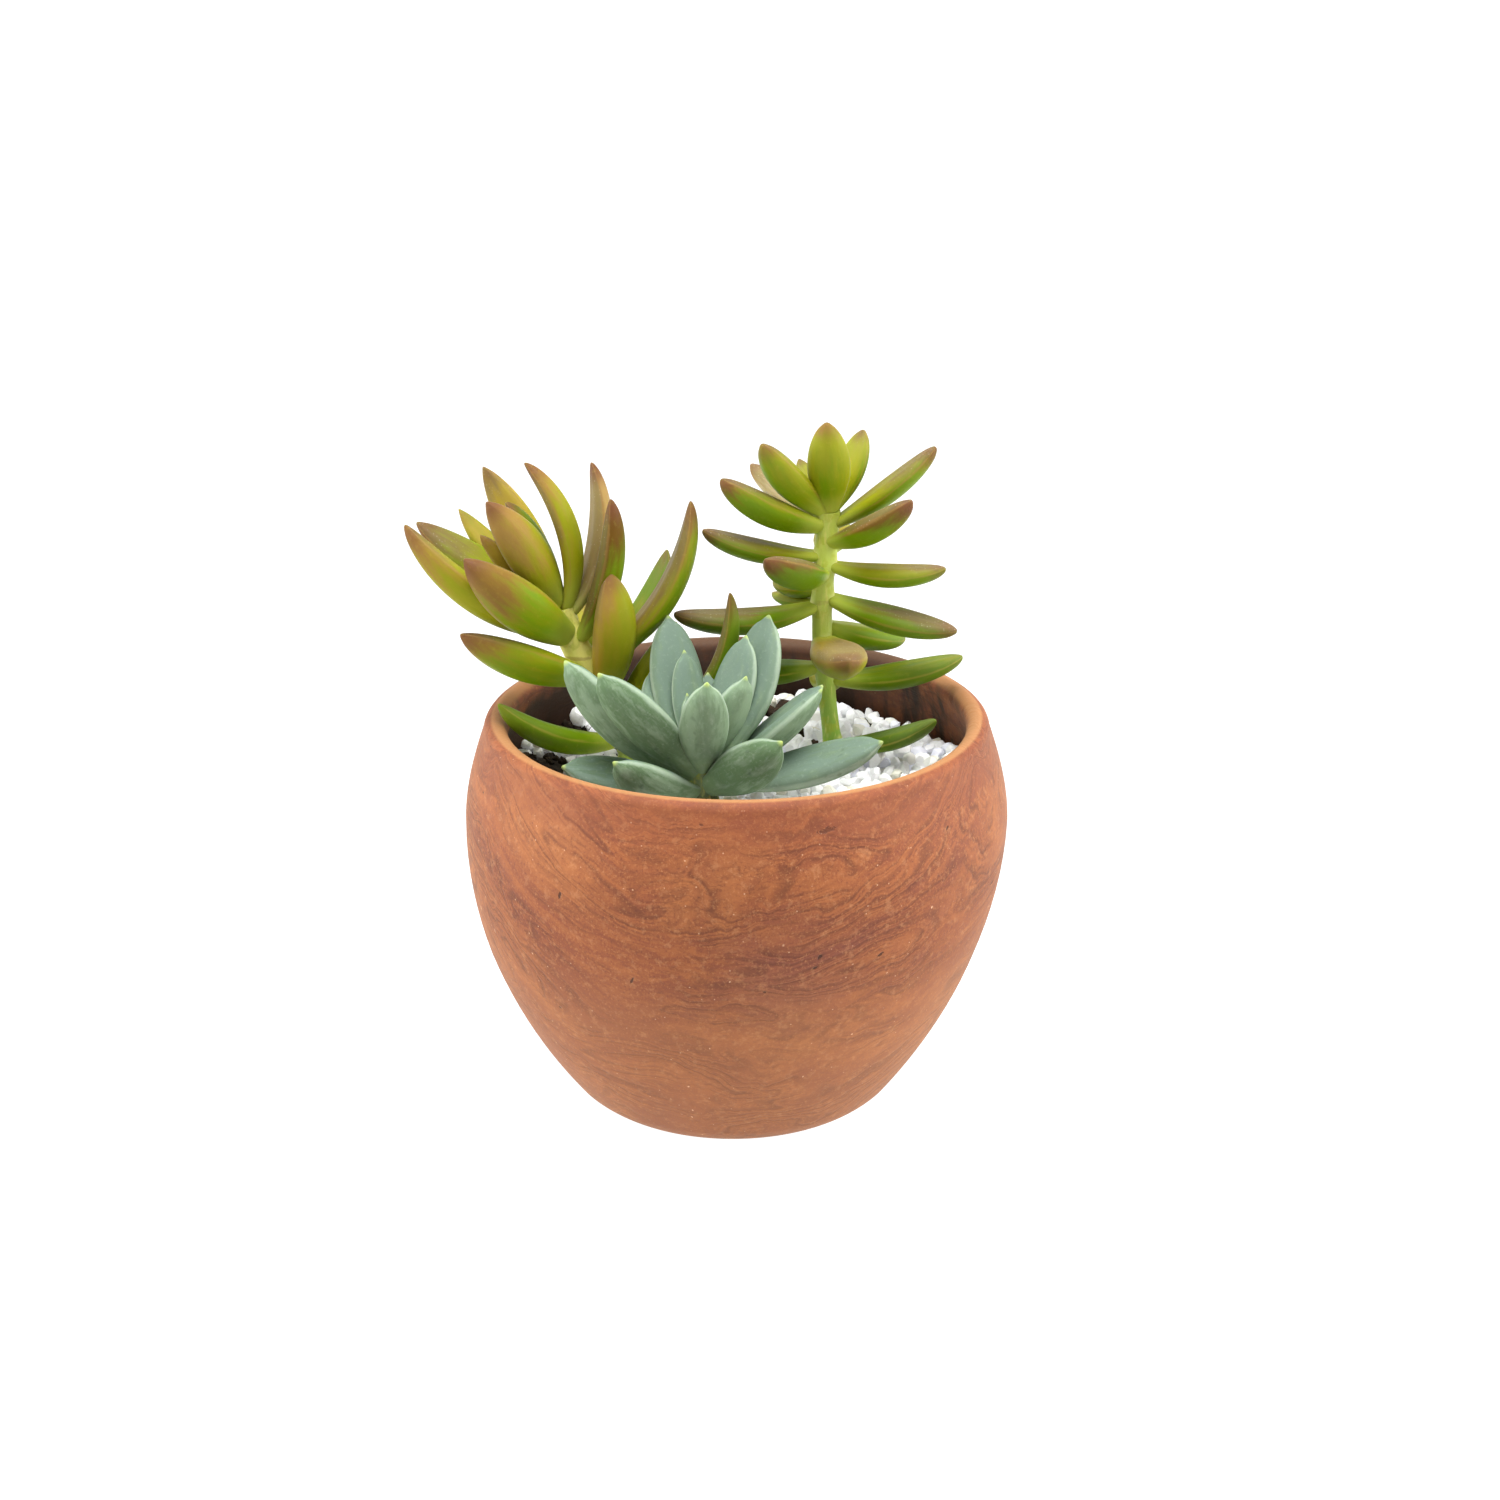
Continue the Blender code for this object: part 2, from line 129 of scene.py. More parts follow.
def places(mesh):
    """A mesh's vertex places as an array."""
    found = np.zeros(len(mesh.vertices) * 3)
    mesh.vertices.foreach_get("co", found)
    return found.reshape(-1, 3)


def set_places(mesh, values):
    mesh.vertices.foreach_set("co", np.asarray(values, float).ravel())
    mesh.update()


def keep_values(mesh, name, values):
    """Stores one number, or three, for each vertex, which a material can read."""
    values = np.asarray(values, np.float32)
    kind, field = ("FLOAT", "value") if values.ndim == 1 else ("FLOAT_VECTOR", "vector")
    mesh.attributes.new(name, kind, "POINT").data.foreach_set(field, values.ravel())


def finish_piece(piece, material, slot, *nodes):
    """Gives a piece its material, hangs it under the root and hides the plain solids it stands for."""
    piece.data.materials.clear()
    piece.data.materials.append(material)
    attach(piece, "root")
    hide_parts(*nodes)
    piece.data.calc_loop_triangles()
    print(piece.name, "has", len(piece.data.loop_triangles), "triangles")


# %% [markdown]
# Materials are drawn with shader nodes. Written out node by node they are hard to read, so one
# class wraps the output of a node and lets Python's arithmetic add the Math nodes, and a second one
# makes every other node. A colour is written as it is seen on screen and turned into linear light.


# %% Shader helpers
class Wire:
    """An output of a shader node that Python's arithmetic works on."""

    def __init__(self, paint, socket):
        self.paint = paint
        self.socket = socket

    def __add__(self, other):
        return self.paint.maths("ADD", self, other)

    def __sub__(self, other):
        return self.paint.maths("SUBTRACT", self, other)

    def __rsub__(self, other):
        return self.paint.maths("SUBTRACT", other, self)

    def __mul__(self, other):
        return self.paint.maths("MULTIPLY", self, other)

    def __truediv__(self, other):
        return self.paint.maths("DIVIDE", self, other)

    def __mod__(self, other):
        return self.paint.maths("FLOORED_MODULO", self, other)

    def __gt__(self, other):
        return self.paint.maths("GREATER_THAN", self, other)

    def __abs__(self):
        return self.paint.maths("ABSOLUTE", self)

    __radd__ = __add__
    __rmul__ = __mul__


class Nodes:
    """A tree of shader nodes and the ways to add to it."""

    def __init__(self, tree):
        self.tree = tree

    def node(self, kind, settings=None, values=None, out=0):
        """Adds a node: its settings first, then the values or wires of its sockets."""
        made = self.tree.nodes.new("ShaderNode" + kind)
        for name, value in (settings or {}).items():
            setattr(made, name, value)
        for name, value in (values or {}).items():
            if isinstance(value, Wire):
                self.tree.links.new(value.socket, made.inputs[name])
            else:
                made.inputs[name].default_value = value
        return Wire(self, made.outputs[out])

    def maths(self, operation, *values):
        return self.node("Math", {"operation": operation}, dict(enumerate(values)))

    def parts(self, vector):
        """The three numbers of a vector."""
        return [self.node("SeparateXYZ", None, {0: vector}, out=axis) for axis in range(3)]

    def blend(self, share, first, second):
        """The first colour, turning into the second as the share goes from 0 to 1."""
        return self.node("Mix", {"data_type": "RGBA"}, {0: share, 6: first, 7: second}, out=2)

    def rise(self, value, low, high):
        """0 up to low, 1 from high on, and a smooth rise between them."""
        settings = {"interpolation_type": "SMOOTHSTEP"}
        return self.node("MapRange", settings, {"Value": value, "From Min": low, "From Max": high})


class Paint(Nodes):
    """A material with one Principled shader and the nodes that feed it."""

    def __init__(self, name, **constants):
        self.material = bpy.data.materials.new(name)
        self.material.use_nodes = True
        super().__init__(self.material.node_tree)
        self.shader = self.tree.nodes["Principled BSDF"]
        for socket, value in constants.items():
            self.shader.inputs[socket.replace("_", " ")].default_value = value

    def spread(self, colour, *coats):
        """Lays coats over a colour: a value, where it rises, the coat's share and its colour."""
        for value, low, high, share, coat in coats:
            colour = self.blend(self.rise(value, low, high) * share, colour, coat)
        return colour

    def object_place(self):
        return self.node("TexCoord", out="Object")

    def stored(self, name, out="Fac"):
        """What the mesh stores under a name: a number, or a vector with out="Vector"."""
        return self.node("Attribute", {"attribute_name": name}, out=out)

    def stretch(self, place, factors):
        return self.node("VectorMath", {"operation": "MULTIPLY"}, {0: place, 1: factors})

    def cloud(self, place, scale, detail=2.0, roughness=0.5, out="Fac"):
        values = {"Vector": place, "Scale": scale, "Detail": detail, "Roughness": roughness}
        return self.node("TexNoise", None, values, out=out)

    def warp(self, place, scale, amount, detail=1.0):
        """Pushes a place about by up to half the amount, in metres."""
        push = self.cloud(place, scale, detail, out="Color")
        values = {0: push, 1: (amount,) * 3, 2: (-amount / 2,) * 3}
        push = self.node("VectorMath", {"operation": "MULTIPLY_ADD"}, values)
        return self.node("VectorMath", {"operation": "ADD"}, {0: place, 1: push})

    def grains(self, place, scale, share, low, high):
        """Round grains in a share of the cells of a grid: 1 inside a grain, 0 outside."""
        values = {"Vector": place, "Scale": scale}
        distance = self.node("TexVoronoi", None, values, out="Distance")
        lottery = self.node("TexVoronoi", None, values, out="Color")
        chosen = self.node("SeparateXYZ", None, {0: lottery}) > 1 - share
        return (1 - self.rise(distance, low, high)) * chosen

    def raise_surface(self, height, depth):
        """Bumps the surface: the height goes from 0 to 1, the depth is in metres."""
        values = {"Height": height, "Distance": depth, "Strength": 1.0}
        self.feed(Normal=self.node("Bump", None, values))

    def feed(self, **wires):
        for socket, wire in wires.items():
            self.tree.links.new(wire.socket, self.shader.inputs[socket.replace("_", " ")])


def seen(red, green, blue):
    """A colour as it is picked on screen, from 0 to 255, in linear light."""
    shares = [value / 255 for value in (red, green, blue)]
    linear = [s / 12.92 if s <= 0.04045 else ((s + 0.055) / 1.055) ** 2.4 for s in shares]
    return (*linear, 1.0)


# %% [markdown]
# The bowl is turned, like on a wheel: half of its outline goes round the upright axis. The outline is
# drawn with the same smooth stretches as the solid's, only with more points, and the Spin
# operator turns it. A Screw modifier would give the same shape, but Spin works as a hand does.

# %% Bowl outline
BELLY_RADIUS = bowl_high.x
BELLY_HEIGHT = 0.073
BOWL_HEIGHT = 0.0985
FOOT_RADIUS = 0.0242
RIM_RADIUS = 0.0602
WALL = 0.0056
LIP_RADIUS = WALL / 2
LIP_HEIGHT = BOWL_HEIGHT - LIP_RADIUS
FLOOR_RADIUS = 0.024
FLOOR_HEIGHT = 0.0075
FOOT_BEVEL = 0.0004
STRETCH_POINTS = 22
LIP_POINTS = 13
TURN_STEPS = 192


def stretch_of(start, pull_start, pull_end, end):
    """Points (radius, height) of one smooth stretch of an outline, its first point left out."""
    corners = [Vector((r, h, 0)) for r, h in (start, pull_start, pull_end, end)]
    return [(p.x, p.y) for p in interpolate_bezier(*corners, STRETCH_POINTS)[1:]]


def outside_outline():
    heel = (0.0394, 0.0069)
    belly = (BELLY_RADIUS, BELLY_HEIGHT)
    foot = [(FOOT_RADIUS * share, 0.0) for share in (0.0, 0.25, 0.5, 0.75, 0.95)]
    foot += [(FOOT_RADIUS, FOOT_BEVEL / 4)]
    foot += stretch_of(foot[-1], (0.0316, 0.0006), (0.0364, 0.0038), heel)
    flank = stretch_of(heel, (0.0494, 0.0193), (BELLY_RADIUS, 0.0440), belly)
    shoulder = stretch_of(belly, (BELLY_RADIUS, 0.0808), (0.0624, 0.0890), (RIM_RADIUS, LIP_HEIGHT))
    return foot + flank + shoulder


def inside_outline():
    belly = (BELLY_RADIUS - WALL, BELLY_HEIGHT)
    floor = [(FLOOR_RADIUS * share, FLOOR_HEIGHT) for share in (0.0, 0.33, 0.66, 1.0)]
    flank = stretch_of(floor[-1], (0.0400, 0.0160), (BELLY_RADIUS - WALL, 0.0440), belly)
    top = (RIM_RADIUS - WALL, LIP_HEIGHT)
    shoulder = stretch_of(belly, (BELLY_RADIUS - WALL, 0.0808), (0.0568, 0.0890), top)
    return floor + flank + shoulder


def lip_outline():
    centre = RIM_RADIUS - LIP_RADIUS
    angles = [math.pi * (1 - i / (LIP_POINTS - 1)) for i in range(1, LIP_POINTS - 1)]
    return [(centre + LIP_RADIUS * math.cos(a), LIP_HEIGHT + LIP_RADIUS * math.sin(a)) for a in angles]


# %% Turning an outline
def turn(name, outline, steps):
    """Draws an outline from one vertex, extruding from place to place, and spins it round Z."""
    piece = add_alone(bpy.ops.mesh.primitive_plane_add, size=MM)
    piece.name = name
    bpy.ops.object.mode_set(mode="EDIT")
    bpy.ops.mesh.merge(type="CENTER")
    spots = [Vector((radius, 0.0, height)) for radius, height in outline]
    bpy.ops.transform.translate(value=spots[0])
    for before, after in zip(spots, spots[1:]):
        bpy.ops.mesh.extrude_vertices_move(TRANSFORM_OT_translate={"value": after - before})
    bpy.ops.mesh.select_all(action="SELECT")
    bpy.ops.mesh.spin(steps=steps, angle=math.tau, center=(0, 0, 0), axis=(0, 0, 1))
    bpy.ops.mesh.select_all(action="SELECT")
    bpy.ops.mesh.remove_doubles(threshold=0.00001)
    bpy.ops.mesh.normals_make_consistent(inside=False)
    bpy.ops.object.mode_set(mode="OBJECT")
    bpy.ops.object.shade_smooth()
    return piece


# %% [markdown]
# A bowl that was pressed and rubbed by hand isn't perfectly round. The finished mesh is pushed in
# and out by a slow noise of a quarter of a millimetre, which the light picks up at its flanks, and
# its lower half stands a little further left than its rim.

# %% Bowl
HAND_WAVE = 0.00022
HAND_WAVE_SCALE = 28.0
LEAN = 0.00095


def make_bowl():
    outline = inside_outline() + lip_outline() + outside_outline()[::-1]
    bowl = turn("clay_bowl", outline, TURN_STEPS)
    spots = places(bowl.data)
    radius = np.hypot(spots[:, 0], spots[:, 1])
    share = np.array([noise.noise(Vector(spot) * HAND_WAVE_SCALE) for spot in spots])
    push = 1 + share * HAND_WAVE / np.maximum(radius, 0.01) * (spots[:, 2] > FOOT_BEVEL)
    spots[:, :2] *= push[:, None]
    spots[:, 0] -= LEAN * np.clip((BELLY_HEIGHT - spots[:, 2]) / 0.03, 0, 1)
    set_places(bowl.data, spots)
    outer = np.array([wall_radius(height) for height in spots[:, 2]])
    keep_values(bowl.data, "inside", np.clip((outer - LIP_RADIUS - radius) / LIP_RADIUS + 0.5, 0, 1))
    return bowl


def wall_radius(height):
    """The bowl's outer radius at a height."""
    outline = outside_outline()[5:]
    return float(np.interp(height, [h for _, h in outline], [r for r, _ in outline]))


bowl = make_bowl()

# %% [markdown]
# The bowl is made of two clays, an orange and a red one, that were only half kneaded together. Cut
# through, such clay shows wavy layers. So the pattern is a solid one: flat layers of noise, bent by
# slower noises and sagging in the middle, and the wall simply cuts through them. The fine lines follow
# the same layers, like height lines on a map. Sand grains and small pits are strewn in it.

# %% Marbled clay
ORANGE_CLAY = seen(158, 91, 50)
OCHRE_CLAY = seen(172, 106, 58)
PALE_CLAY_AND_LIGHT = seen(192, 133, 88)
RED_CLAY = seen(132, 70, 43)
PLUM_CLAY = seen(130, 74, 58)
LINE_CLAY = seen(88, 42, 26)
SAND = seen(236, 190, 150)
DAMP_AND_SHADED_CLAY = seen(30, 18, 9)
WALL_BROWN = seen(98, 62, 34)
SHADED_LIP = seen(52, 33, 22)
PIT_AND_FOOT_SHADE = seen(48, 24, 16)
LIT_LIP_OCHRE = seen(172, 122, 76)
SAG = 5.5
Mark = namedtuple("Mark", "place tilt reach height")
Blotch = namedtuple("Blotch", "place reach colour share")
MARKS = (
    Mark((0.0199, -0.0582, 0.0915), 8, 0.0027, 0.0007),
    Mark((-0.0400, -0.0512, 0.0731), 78, 0.0013, 0.0004),
    Mark((0.0189, -0.0614, 0.0622), 60, 0.0009, 0.0005),
    Mark((0.0178, -0.0614, 0.0594), 30, 0.0009, 0.0004),
    Mark((0.0327, -0.0550, 0.0598), 30, 0.0010, 0.0004),
    Mark((-0.0236, -0.0585, 0.0552), 70, 0.0012, 0.0003),
)
BLOTCHES = (
    Blotch((-0.0471, -0.0437, 0.0790), 0.020, OCHRE_CLAY, 0.65),
    Blotch((0.0480, -0.0380, 0.0940), 0.013, OCHRE_CLAY, 0.75),
    Blotch((0.0144, -0.0626, 0.0600), 0.026, PLUM_CLAY, 0.50),
    Blotch((-0.0015, -0.0519, 0.0200), 0.028, ORANGE_CLAY, 0.45),
)


def distance_from(paint, place, centre, out="Value"):
    away = paint.node("VectorMath", {"operation": "SUBTRACT"}, {0: place, 1: centre})
    return paint.node("VectorMath", {"operation": "LENGTH"}, {0: away}, out=out)


def marbled_clay():
    clay = Paint("marbled_clay", Specular_IOR_Level=0.34, Sheen_Weight=0.14, Sheen_Roughness=0.4,
                 Sheen_Tint=(1.0, 0.72, 0.42, 1.0))
    place = clay.object_place()
    x, y, z = clay.parts(place)
    bowed = clay.node("CombineXYZ", None, {0: x, 1: y, 2: z - x * x * SAG})
    slow = clay.warp(bowed, 15.0, 0.050)
    bent = clay.warp(slow, 60.0, 0.009, 2.0)
    ragged = clay.warp(bent, 330.0, 0.0013, 2.0)
    sheets = clay.cloud(clay.stretch(ragged, (13.0, 13.0, 60.0)), 1.0, 1.5)
    layers = clay.cloud(clay.stretch(ragged, (26.0, 26.0, 95.0)), 1.0, 4.0, 0.62)
    wisps = clay.cloud(clay.stretch(ragged, (110.0, 110.0, 420.0)), 1.0, 3.0, 0.6)
    patches = clay.cloud(slow, 24.0, 3.0, 0.6)
    breaks = clay.cloud(clay.stretch(bent, (28.0, 28.0, 75.0)), 1.0, 3.0, 0.6)
    dapple = clay.cloud(place, 450.0, 3.0, 0.7)
    grain = clay.cloud(place, 1500.0, 2.0, 0.8)
    mixed = layers * 0.62 + wisps * 0.38 + (grain - 0.5) * 0.15
    colour = clay.blend(clay.rise(mixed, 0.40, 0.60), RED_CLAY, ORANGE_CLAY)
    colour = clay.spread(
        colour,
        (patches, 0.52, 0.70, 0.50, OCHRE_CLAY),
        (patches, 0.45, 0.32, 0.40, PLUM_CLAY),
    )
    for blotch in BLOTCHES:
        away = distance_from(clay, slow, blotch.place) / blotch.reach + (layers - 0.5) * 1.2
        colour = clay.spread(colour, (away, 1.0, 0.4, blotch.share, blotch.colour))
    lines = 0.0
    contours = ((sheets * 20.0, 0.28, 0.55), (sheets * 57.0, 0.40, 0.32), (wisps * 5.0, 0.22, 0.30))
    for height, thickness, share in contours:
        line = 1 - clay.rise(abs(height % 1.0 - 0.5), 0.0, thickness)
        line = line * clay.rise(breaks + (wisps - 0.5) * 0.4, 0.36, 0.58) * share
        colour = clay.blend(line, colour, LINE_CLAY)
        lines = line + lines
    colour = clay.spread(
        colour,
        (dapple, 0.52, 0.72, 0.35, PALE_CLAY_AND_LIGHT),
        (dapple, 0.48, 0.30, 0.35, RED_CLAY),
        (grain, 0.54, 0.76, 0.45, PALE_CLAY_AND_LIGHT),
        (grain, 0.46, 0.26, 0.42, LINE_CLAY),
    )
    pits = clay.grains(clay.stretch(bent, (1.0, 1.0, 1.6)), 150.0, 0.10, 0.05, 0.11)
    for mark in MARKS:
        values = {"Vector": place, "Center": mark.place, "Angle": math.radians(mark.tilt)}
        flat = clay.node("VectorRotate", {"rotation_type": "Y_AXIS"}, values)
        flat = clay.stretch(flat, (1 / mark.reach, 60.0, 1 / mark.height))
        centre = (mark.place[0] / mark.reach, mark.place[1] * 60.0, mark.place[2] / mark.height)
        away = distance_from(clay, flat, centre) + (wisps - 0.5) * 1.2 + (grain - 0.5)
        pits = clay.maths("MAXIMUM", pits, clay.rise(away, 1.0, 0.5))
    colour = clay.blend(pits * 0.8, colour, PIT_AND_FOOT_SHADE)
    colour = clay.blend(clay.grains(place, 400.0, 0.55, 0.03, 0.10) * 0.55, colour, SAND)
    colour = clay.blend(clay.grains(bent, 230.0, 0.18, 0.03, 0.09) * 0.85, colour, SAND)
    inside = clay.stored("inside")
    lip = clay.rise(z, LIP_HEIGHT + 0.0008, BOWL_HEIGHT - 0.0005) * clay.rise(inside, 0.02, 0.30)
    under_lip = clay.rise(z, LIP_HEIGHT - 0.0100, LIP_HEIGHT - 0.0030) * clay.rise(inside, 0.20, 0.05)
    colour = clay.blend(under_lip * 0.40, colour, RED_CLAY)
    # Painted light and shade low on the bowl: the lower body is painted paler, as painted light, and
    # the lowest millimetre and a half is painted dark as the shadow where the foot meets the floor.
    colour = clay.spread(
        colour,
        (z, 0.064, 0.038, 0.20, PALE_CLAY_AND_LIGHT),
        (z, 0.0014, 0.0002, 0.75, PIT_AND_FOOT_SHADE),
    )
    streaks = clay.cloud(clay.stretch(place, (260.0, 260.0, 40.0)), 1.0, 3.0, 0.6)
    # The inside wall below the lip is painted dark: partly damp clay, partly painted shade in the
    # hollow of the bowl. It comes up to the lip at the back and starts lower further forward. On the
    # right side it is thinner in streaks, which leaves painted light there.
    edge = z + clay.rise(y, 0.040, 0.0) * 0.0065 + (streaks - 0.5) * 0.006
    damp_and_shade = clay.rise(inside, 0.55, 1.0) * clay.rise(edge, LIP_HEIGHT + 0.0020, LIP_HEIGHT - 0.0035)
    # Darker brown streaks on the inside wall.
    inner_streaks = clay.rise(inside, 0.40, 0.70) * clay.rise(streaks, 0.55, 0.35)
    colour = clay.blend(inner_streaks * 0.7, colour, WALL_BROWN)
    damp_and_shade = damp_and_shade * (1 - clay.rise(x, 0.024, 0.050) * clay.rise(streaks, 0.30, 0.60) * 0.55)
    colour = clay.blend(damp_and_shade * 0.92, colour, DAMP_AND_SHADED_CLAY)
    # Painted light: the top of the lip is painted a lighter ochre where the light from above falls,
    # and the far lip below is painted shade.
    colour = clay.blend(lip * 0.8, colour, LIT_LIP_OCHRE)
    far = clay.rise(y, 0.026, 0.042) * clay.rise(inside, 0.0, 0.15)
    far = far * clay.rise(z, LIP_HEIGHT - 0.004, LIP_HEIGHT)
    colour = clay.blend(far * 0.85, colour, SHADED_LIP)
    clay.feed(Base_Color=colour, Roughness=clay.rise(grain, 0.2, 0.8) * 0.2 + 0.60)
    clay.raise_surface(grain * 0.3 + layers * 0.6 - pits - lines * 0.5, 0.00014)
    return clay.material


finish_piece(bowl, marbled_clay(), "clay", "bowl")

# %% [markdown]
# Each plant repeats the leaves of its solid. A leaf is a sphere drawn out along a curved midline, as
# wide as a formula says, flat above and keeled below. The table is the plant's own: where each leaf
# springs from the stem, which way it points, how long, wide and curled it is, and how much colour
# it has. Sculpting sixty leaves by hand would look as good, but they could not be tuned in one place.

# %% Leaves of the tall shoot
Leaf = namedtuple("Leaf", "at azimuth rise length width curl roll gold blush", defaults=(0, 0.4, 0.5))
LeafForm = namedtuple("LeafForm", "neck belly fullness blunt upper lower thickness beak pinch")
Shoot = namedtuple("Shoot", "name path radius leaves form lean sun")

SEDUM_LEAF = LeafForm(neck=0.46, belly=0.55, fullness=0.62, blunt=0.54, upper=0.36, lower=0.64,
                      thickness=0.62, beak=0.0003, pinch=0.0)
TALL_LEAF = SEDUM_LEAF._replace(belly=0.52, blunt=0.65)
ROSETTE_LEAF = LeafForm(neck=0.42, belly=0.60, fullness=0.66, blunt=0.47, upper=0.36, lower=0.64,
                        thickness=0.52, beak=0.0013, pinch=0.55)


def leaves_of(*rows):
    return [Leaf(*row) for row in rows]


# Height of the root in mm, azimuth and rise in degrees, length and width in mm, curl and roll in
# degrees, then how golden the leaf is, from 0 for green to 1 and on to bleached, and how far down
# its flush comes
TALL_LEAVES = leaves_of(
    (116.6, 212, 41, 37, 12.5, 36, 30, 0.35, 0.84), (124, 209, 58, 34, 11.0, 20, 20, 0.7, 0.84),
    (118, 190, 37, 47.5, 10.5, 50, 20, 0.6, 0.64), (122, 168, 31, 41, 11.0, 15, 0, 0.2, 0.68),
    (124, 148, 35, 35, 6.8, 20, 0, 0.5, 0.36), (124, 196, 47, 27, 7.0, 15, 0, 1.0, 0.60),
    (123, 138, 51, 40, 9.5, 30, 0, 0.85, 0.60), (124, 174, 65, 28.5, 9.0, 20, 0, 0.2, 0.66),
    (122, 178, 78, 38.5, 8.5, 65, 0, 0.65, 0.76), (121, 55, 72, 38, 8.5, 55, 0, 1.2, 0.98),
    (115, 330, 74, 39, 10.0, 35, 0, 0.0, 0.90), (107, 200, 24, 35, 12.0, 25, 30, 0.35, 0.72),
    (102, 287, 77, 34, 13.0, 30, 0, 0.8, 0.64), (110, 8, 57, 47, 9.5, 62, 0, 0.4, 0.74),
    (109, 50, 38, 37, 9.5, 50, 0, -0.3, 0.45), (97, 30, 50, 27, 9.5, 30, 0, 0.0, 0.20),
    (91, 347, 56, 46, 8.5, 80, 0, -0.15, 0.62), (91, 200, 21, 34, 10.0, 50, 10, -0.15, 0.20),
    (114, 88, 10, 26, 8.0, 35), (104, 78, 25, 27, 9.0, 40),
    (96, 100, 6, 23, 8.5, 35),
)

# %% Leaves of the right shoot
RIGHT_LEAVES = leaves_of(
    (144, 266, 73, 25.5, 10.2, 12, 0, 0.5, 0.50), (144, 44, 57, 22, 8.5, 18, 0, 0.3, 0.45),
    (144, 211, 47, 27, 9.5, 15, 25, 0.35, 0.55), (141, 193, 27, 29, 10.5, 30, 25, 0.15, 0.64),
    (143, 144, 23, 24.5, 8.0, 20, 0, 1.3, 0.70), (145, 118, 32, 17, 5.5, 20, 0, 0.2, 0.50),
    (141, 2, 37, 32, 8.5, 22, 0, 0.3, 0.70), (137, 328, 31, 27, 10.0, 25, -12, 0.1, 0.86),
    (132, 350, 0, 29, 8.5, 30, 0, 0.35, 0.55), (124, 348, -12, 33.3, 9.5, 22, 5, -0.15, 0.68),
    (117, 38, -20, 28, 9.5, 15, 0, -0.1, 0.25), (103, 9, 6, 34, 9.5, 30, 0, -0.2, 0.25),
    (134, 189, 14, 30.5, 8.5, 30, 0, 0.2, 0.70), (129, 236, 22, 27, 10.0, 30, 25, -0.2, 0.76),
    (122, 123, -9, 22, 6.5, 10, 0, 0.2, 0.40), (122, 194, 0, 36.5, 9.5, 34, 0, -0.2, 0.66),
    (113, 283, 6, 26, 13.0, 30, 0, 0.8, 0.72), (106, 168, -8, 24, 9.0, 10, 0, -0.3, 0.15),
    (86.5, 329, 21.5, 30.5, 7.5, 30, 10, -0.35, 0.10), (135, 80, 2, 25, 8.5, 20),
    (126, 135, -8, 17, 7.0, 20), (101, 85, -5, 26, 9.0, 20),
)

# %% Leaves of the rosette
ROSETTE_LEAVES = leaves_of(
    (91, 275, 60, 33, 11.5, 20, 0, 0.3, 0.3), (87.5, 322, 36, 29, 12.5, 30, -60, 0.9, 0.4),
    (89, 353, 16, 44, 12.0, 25, 25, 0.3, 0.2), (90, 2, 38, 35.5, 10.0, 20, -20, 0.3, 0.3),
    (93, 325, 63, 28, 10.0, 15, -25, 0.2, 0.3), (94, 57, 56, 22, 7.5, 10, 0, 0.3, 0.5),
    (92, 50, 61, 33.5, 11.5, 20, 0, 0.1, 0.2), (90, 49, 55, 42, 14.0, 25, 0, 0.1, 0.2),
    (90, 111, 55, 40.5, 13.0, 25, 0, 0.2, 0.2), (92, 108, 61, 29, 8.5, 15, 0, 0.3, 0.4),
    (90, 122, 43, 31, 12.0, 20, 0, 0.4, 0.2), (90, 207, 49, 40, 12.5, 20, 45, 0.6, 0.4),
    (89, 189, 45, 45, 13.5, 25, 40, 0.4, 0.2), (88, 192, 13, 34, 12.5, 20, -25, 0.6, 0.2),
    (87, 219, 27, 29, 12.0, 35, 40, 0.6, 0.4), (90, 85, 55, 26, 10.0, 25, 0, 0.3, 0.3),
    (90, 20, 33, 36, 11.0, 25, 0, 0.3, 0.3), (94, 140, 74, 17, 6.5, 15, 0, 0.2, 0.5),
    (94, 240, 80, 15, 6.0, 15, 0, 0.2, 0.5), (94, 10, 76, 15, 6.0, 15, 0, 0.2, 0.5),
)

# %% Stems
TALL_SHOOT = Shoot(
    "tall_sedum",
    ((-24.5, 6, 76), (-25, 5, 87), (-29, 3, 96), (-32, 2.5, 102), (-35, 2, 108), (-38, 2, 114),
     (-40.5, 2, 120), (-42, 2, 124)),
    (3.5, 3.3), TALL_LEAVES, TALL_LEAF, (-0.55, 0.0, 0.84), (-0.70, -0.10, 0.70),
)
RIGHT_SHOOT = Shoot(
    "right_sedum",
    ((23.4, 12, 76), (23, 12, 87), (21.6, 13, 100), (20.4, 13, 113), (20.6, 13, 124), (21.2, 13, 135),
     (21.6, 13, 145)),
    (1.95, 2.65), RIGHT_LEAVES, SEDUM_LEAF, (0.0, 0.0, 1.0), (-0.10, 0.10, 0.99),
)
ROSETTE_SHOOT = Shoot(
    "blue_rosette",
    ((-8, -22, 76), (-8, -22, 84), (-8, -22, 90), (-8, -22, 95)),
    (3.4, 3.0), ROSETTE_LEAVES, ROSETTE_LEAF, (0.0, 0.0, 1.0), (0.0, 0.0, 1.0),
)
SHOOTS = (TALL_SHOOT, RIGHT_SHOOT, ROSETTE_SHOOT)


# %% Where a leaf stands
def direction(azimuth, rise):
    az, up = math.radians(azimuth), math.radians(rise)
    return Vector((math.cos(az) * math.cos(up), math.sin(az) * math.cos(up), math.sin(up)))


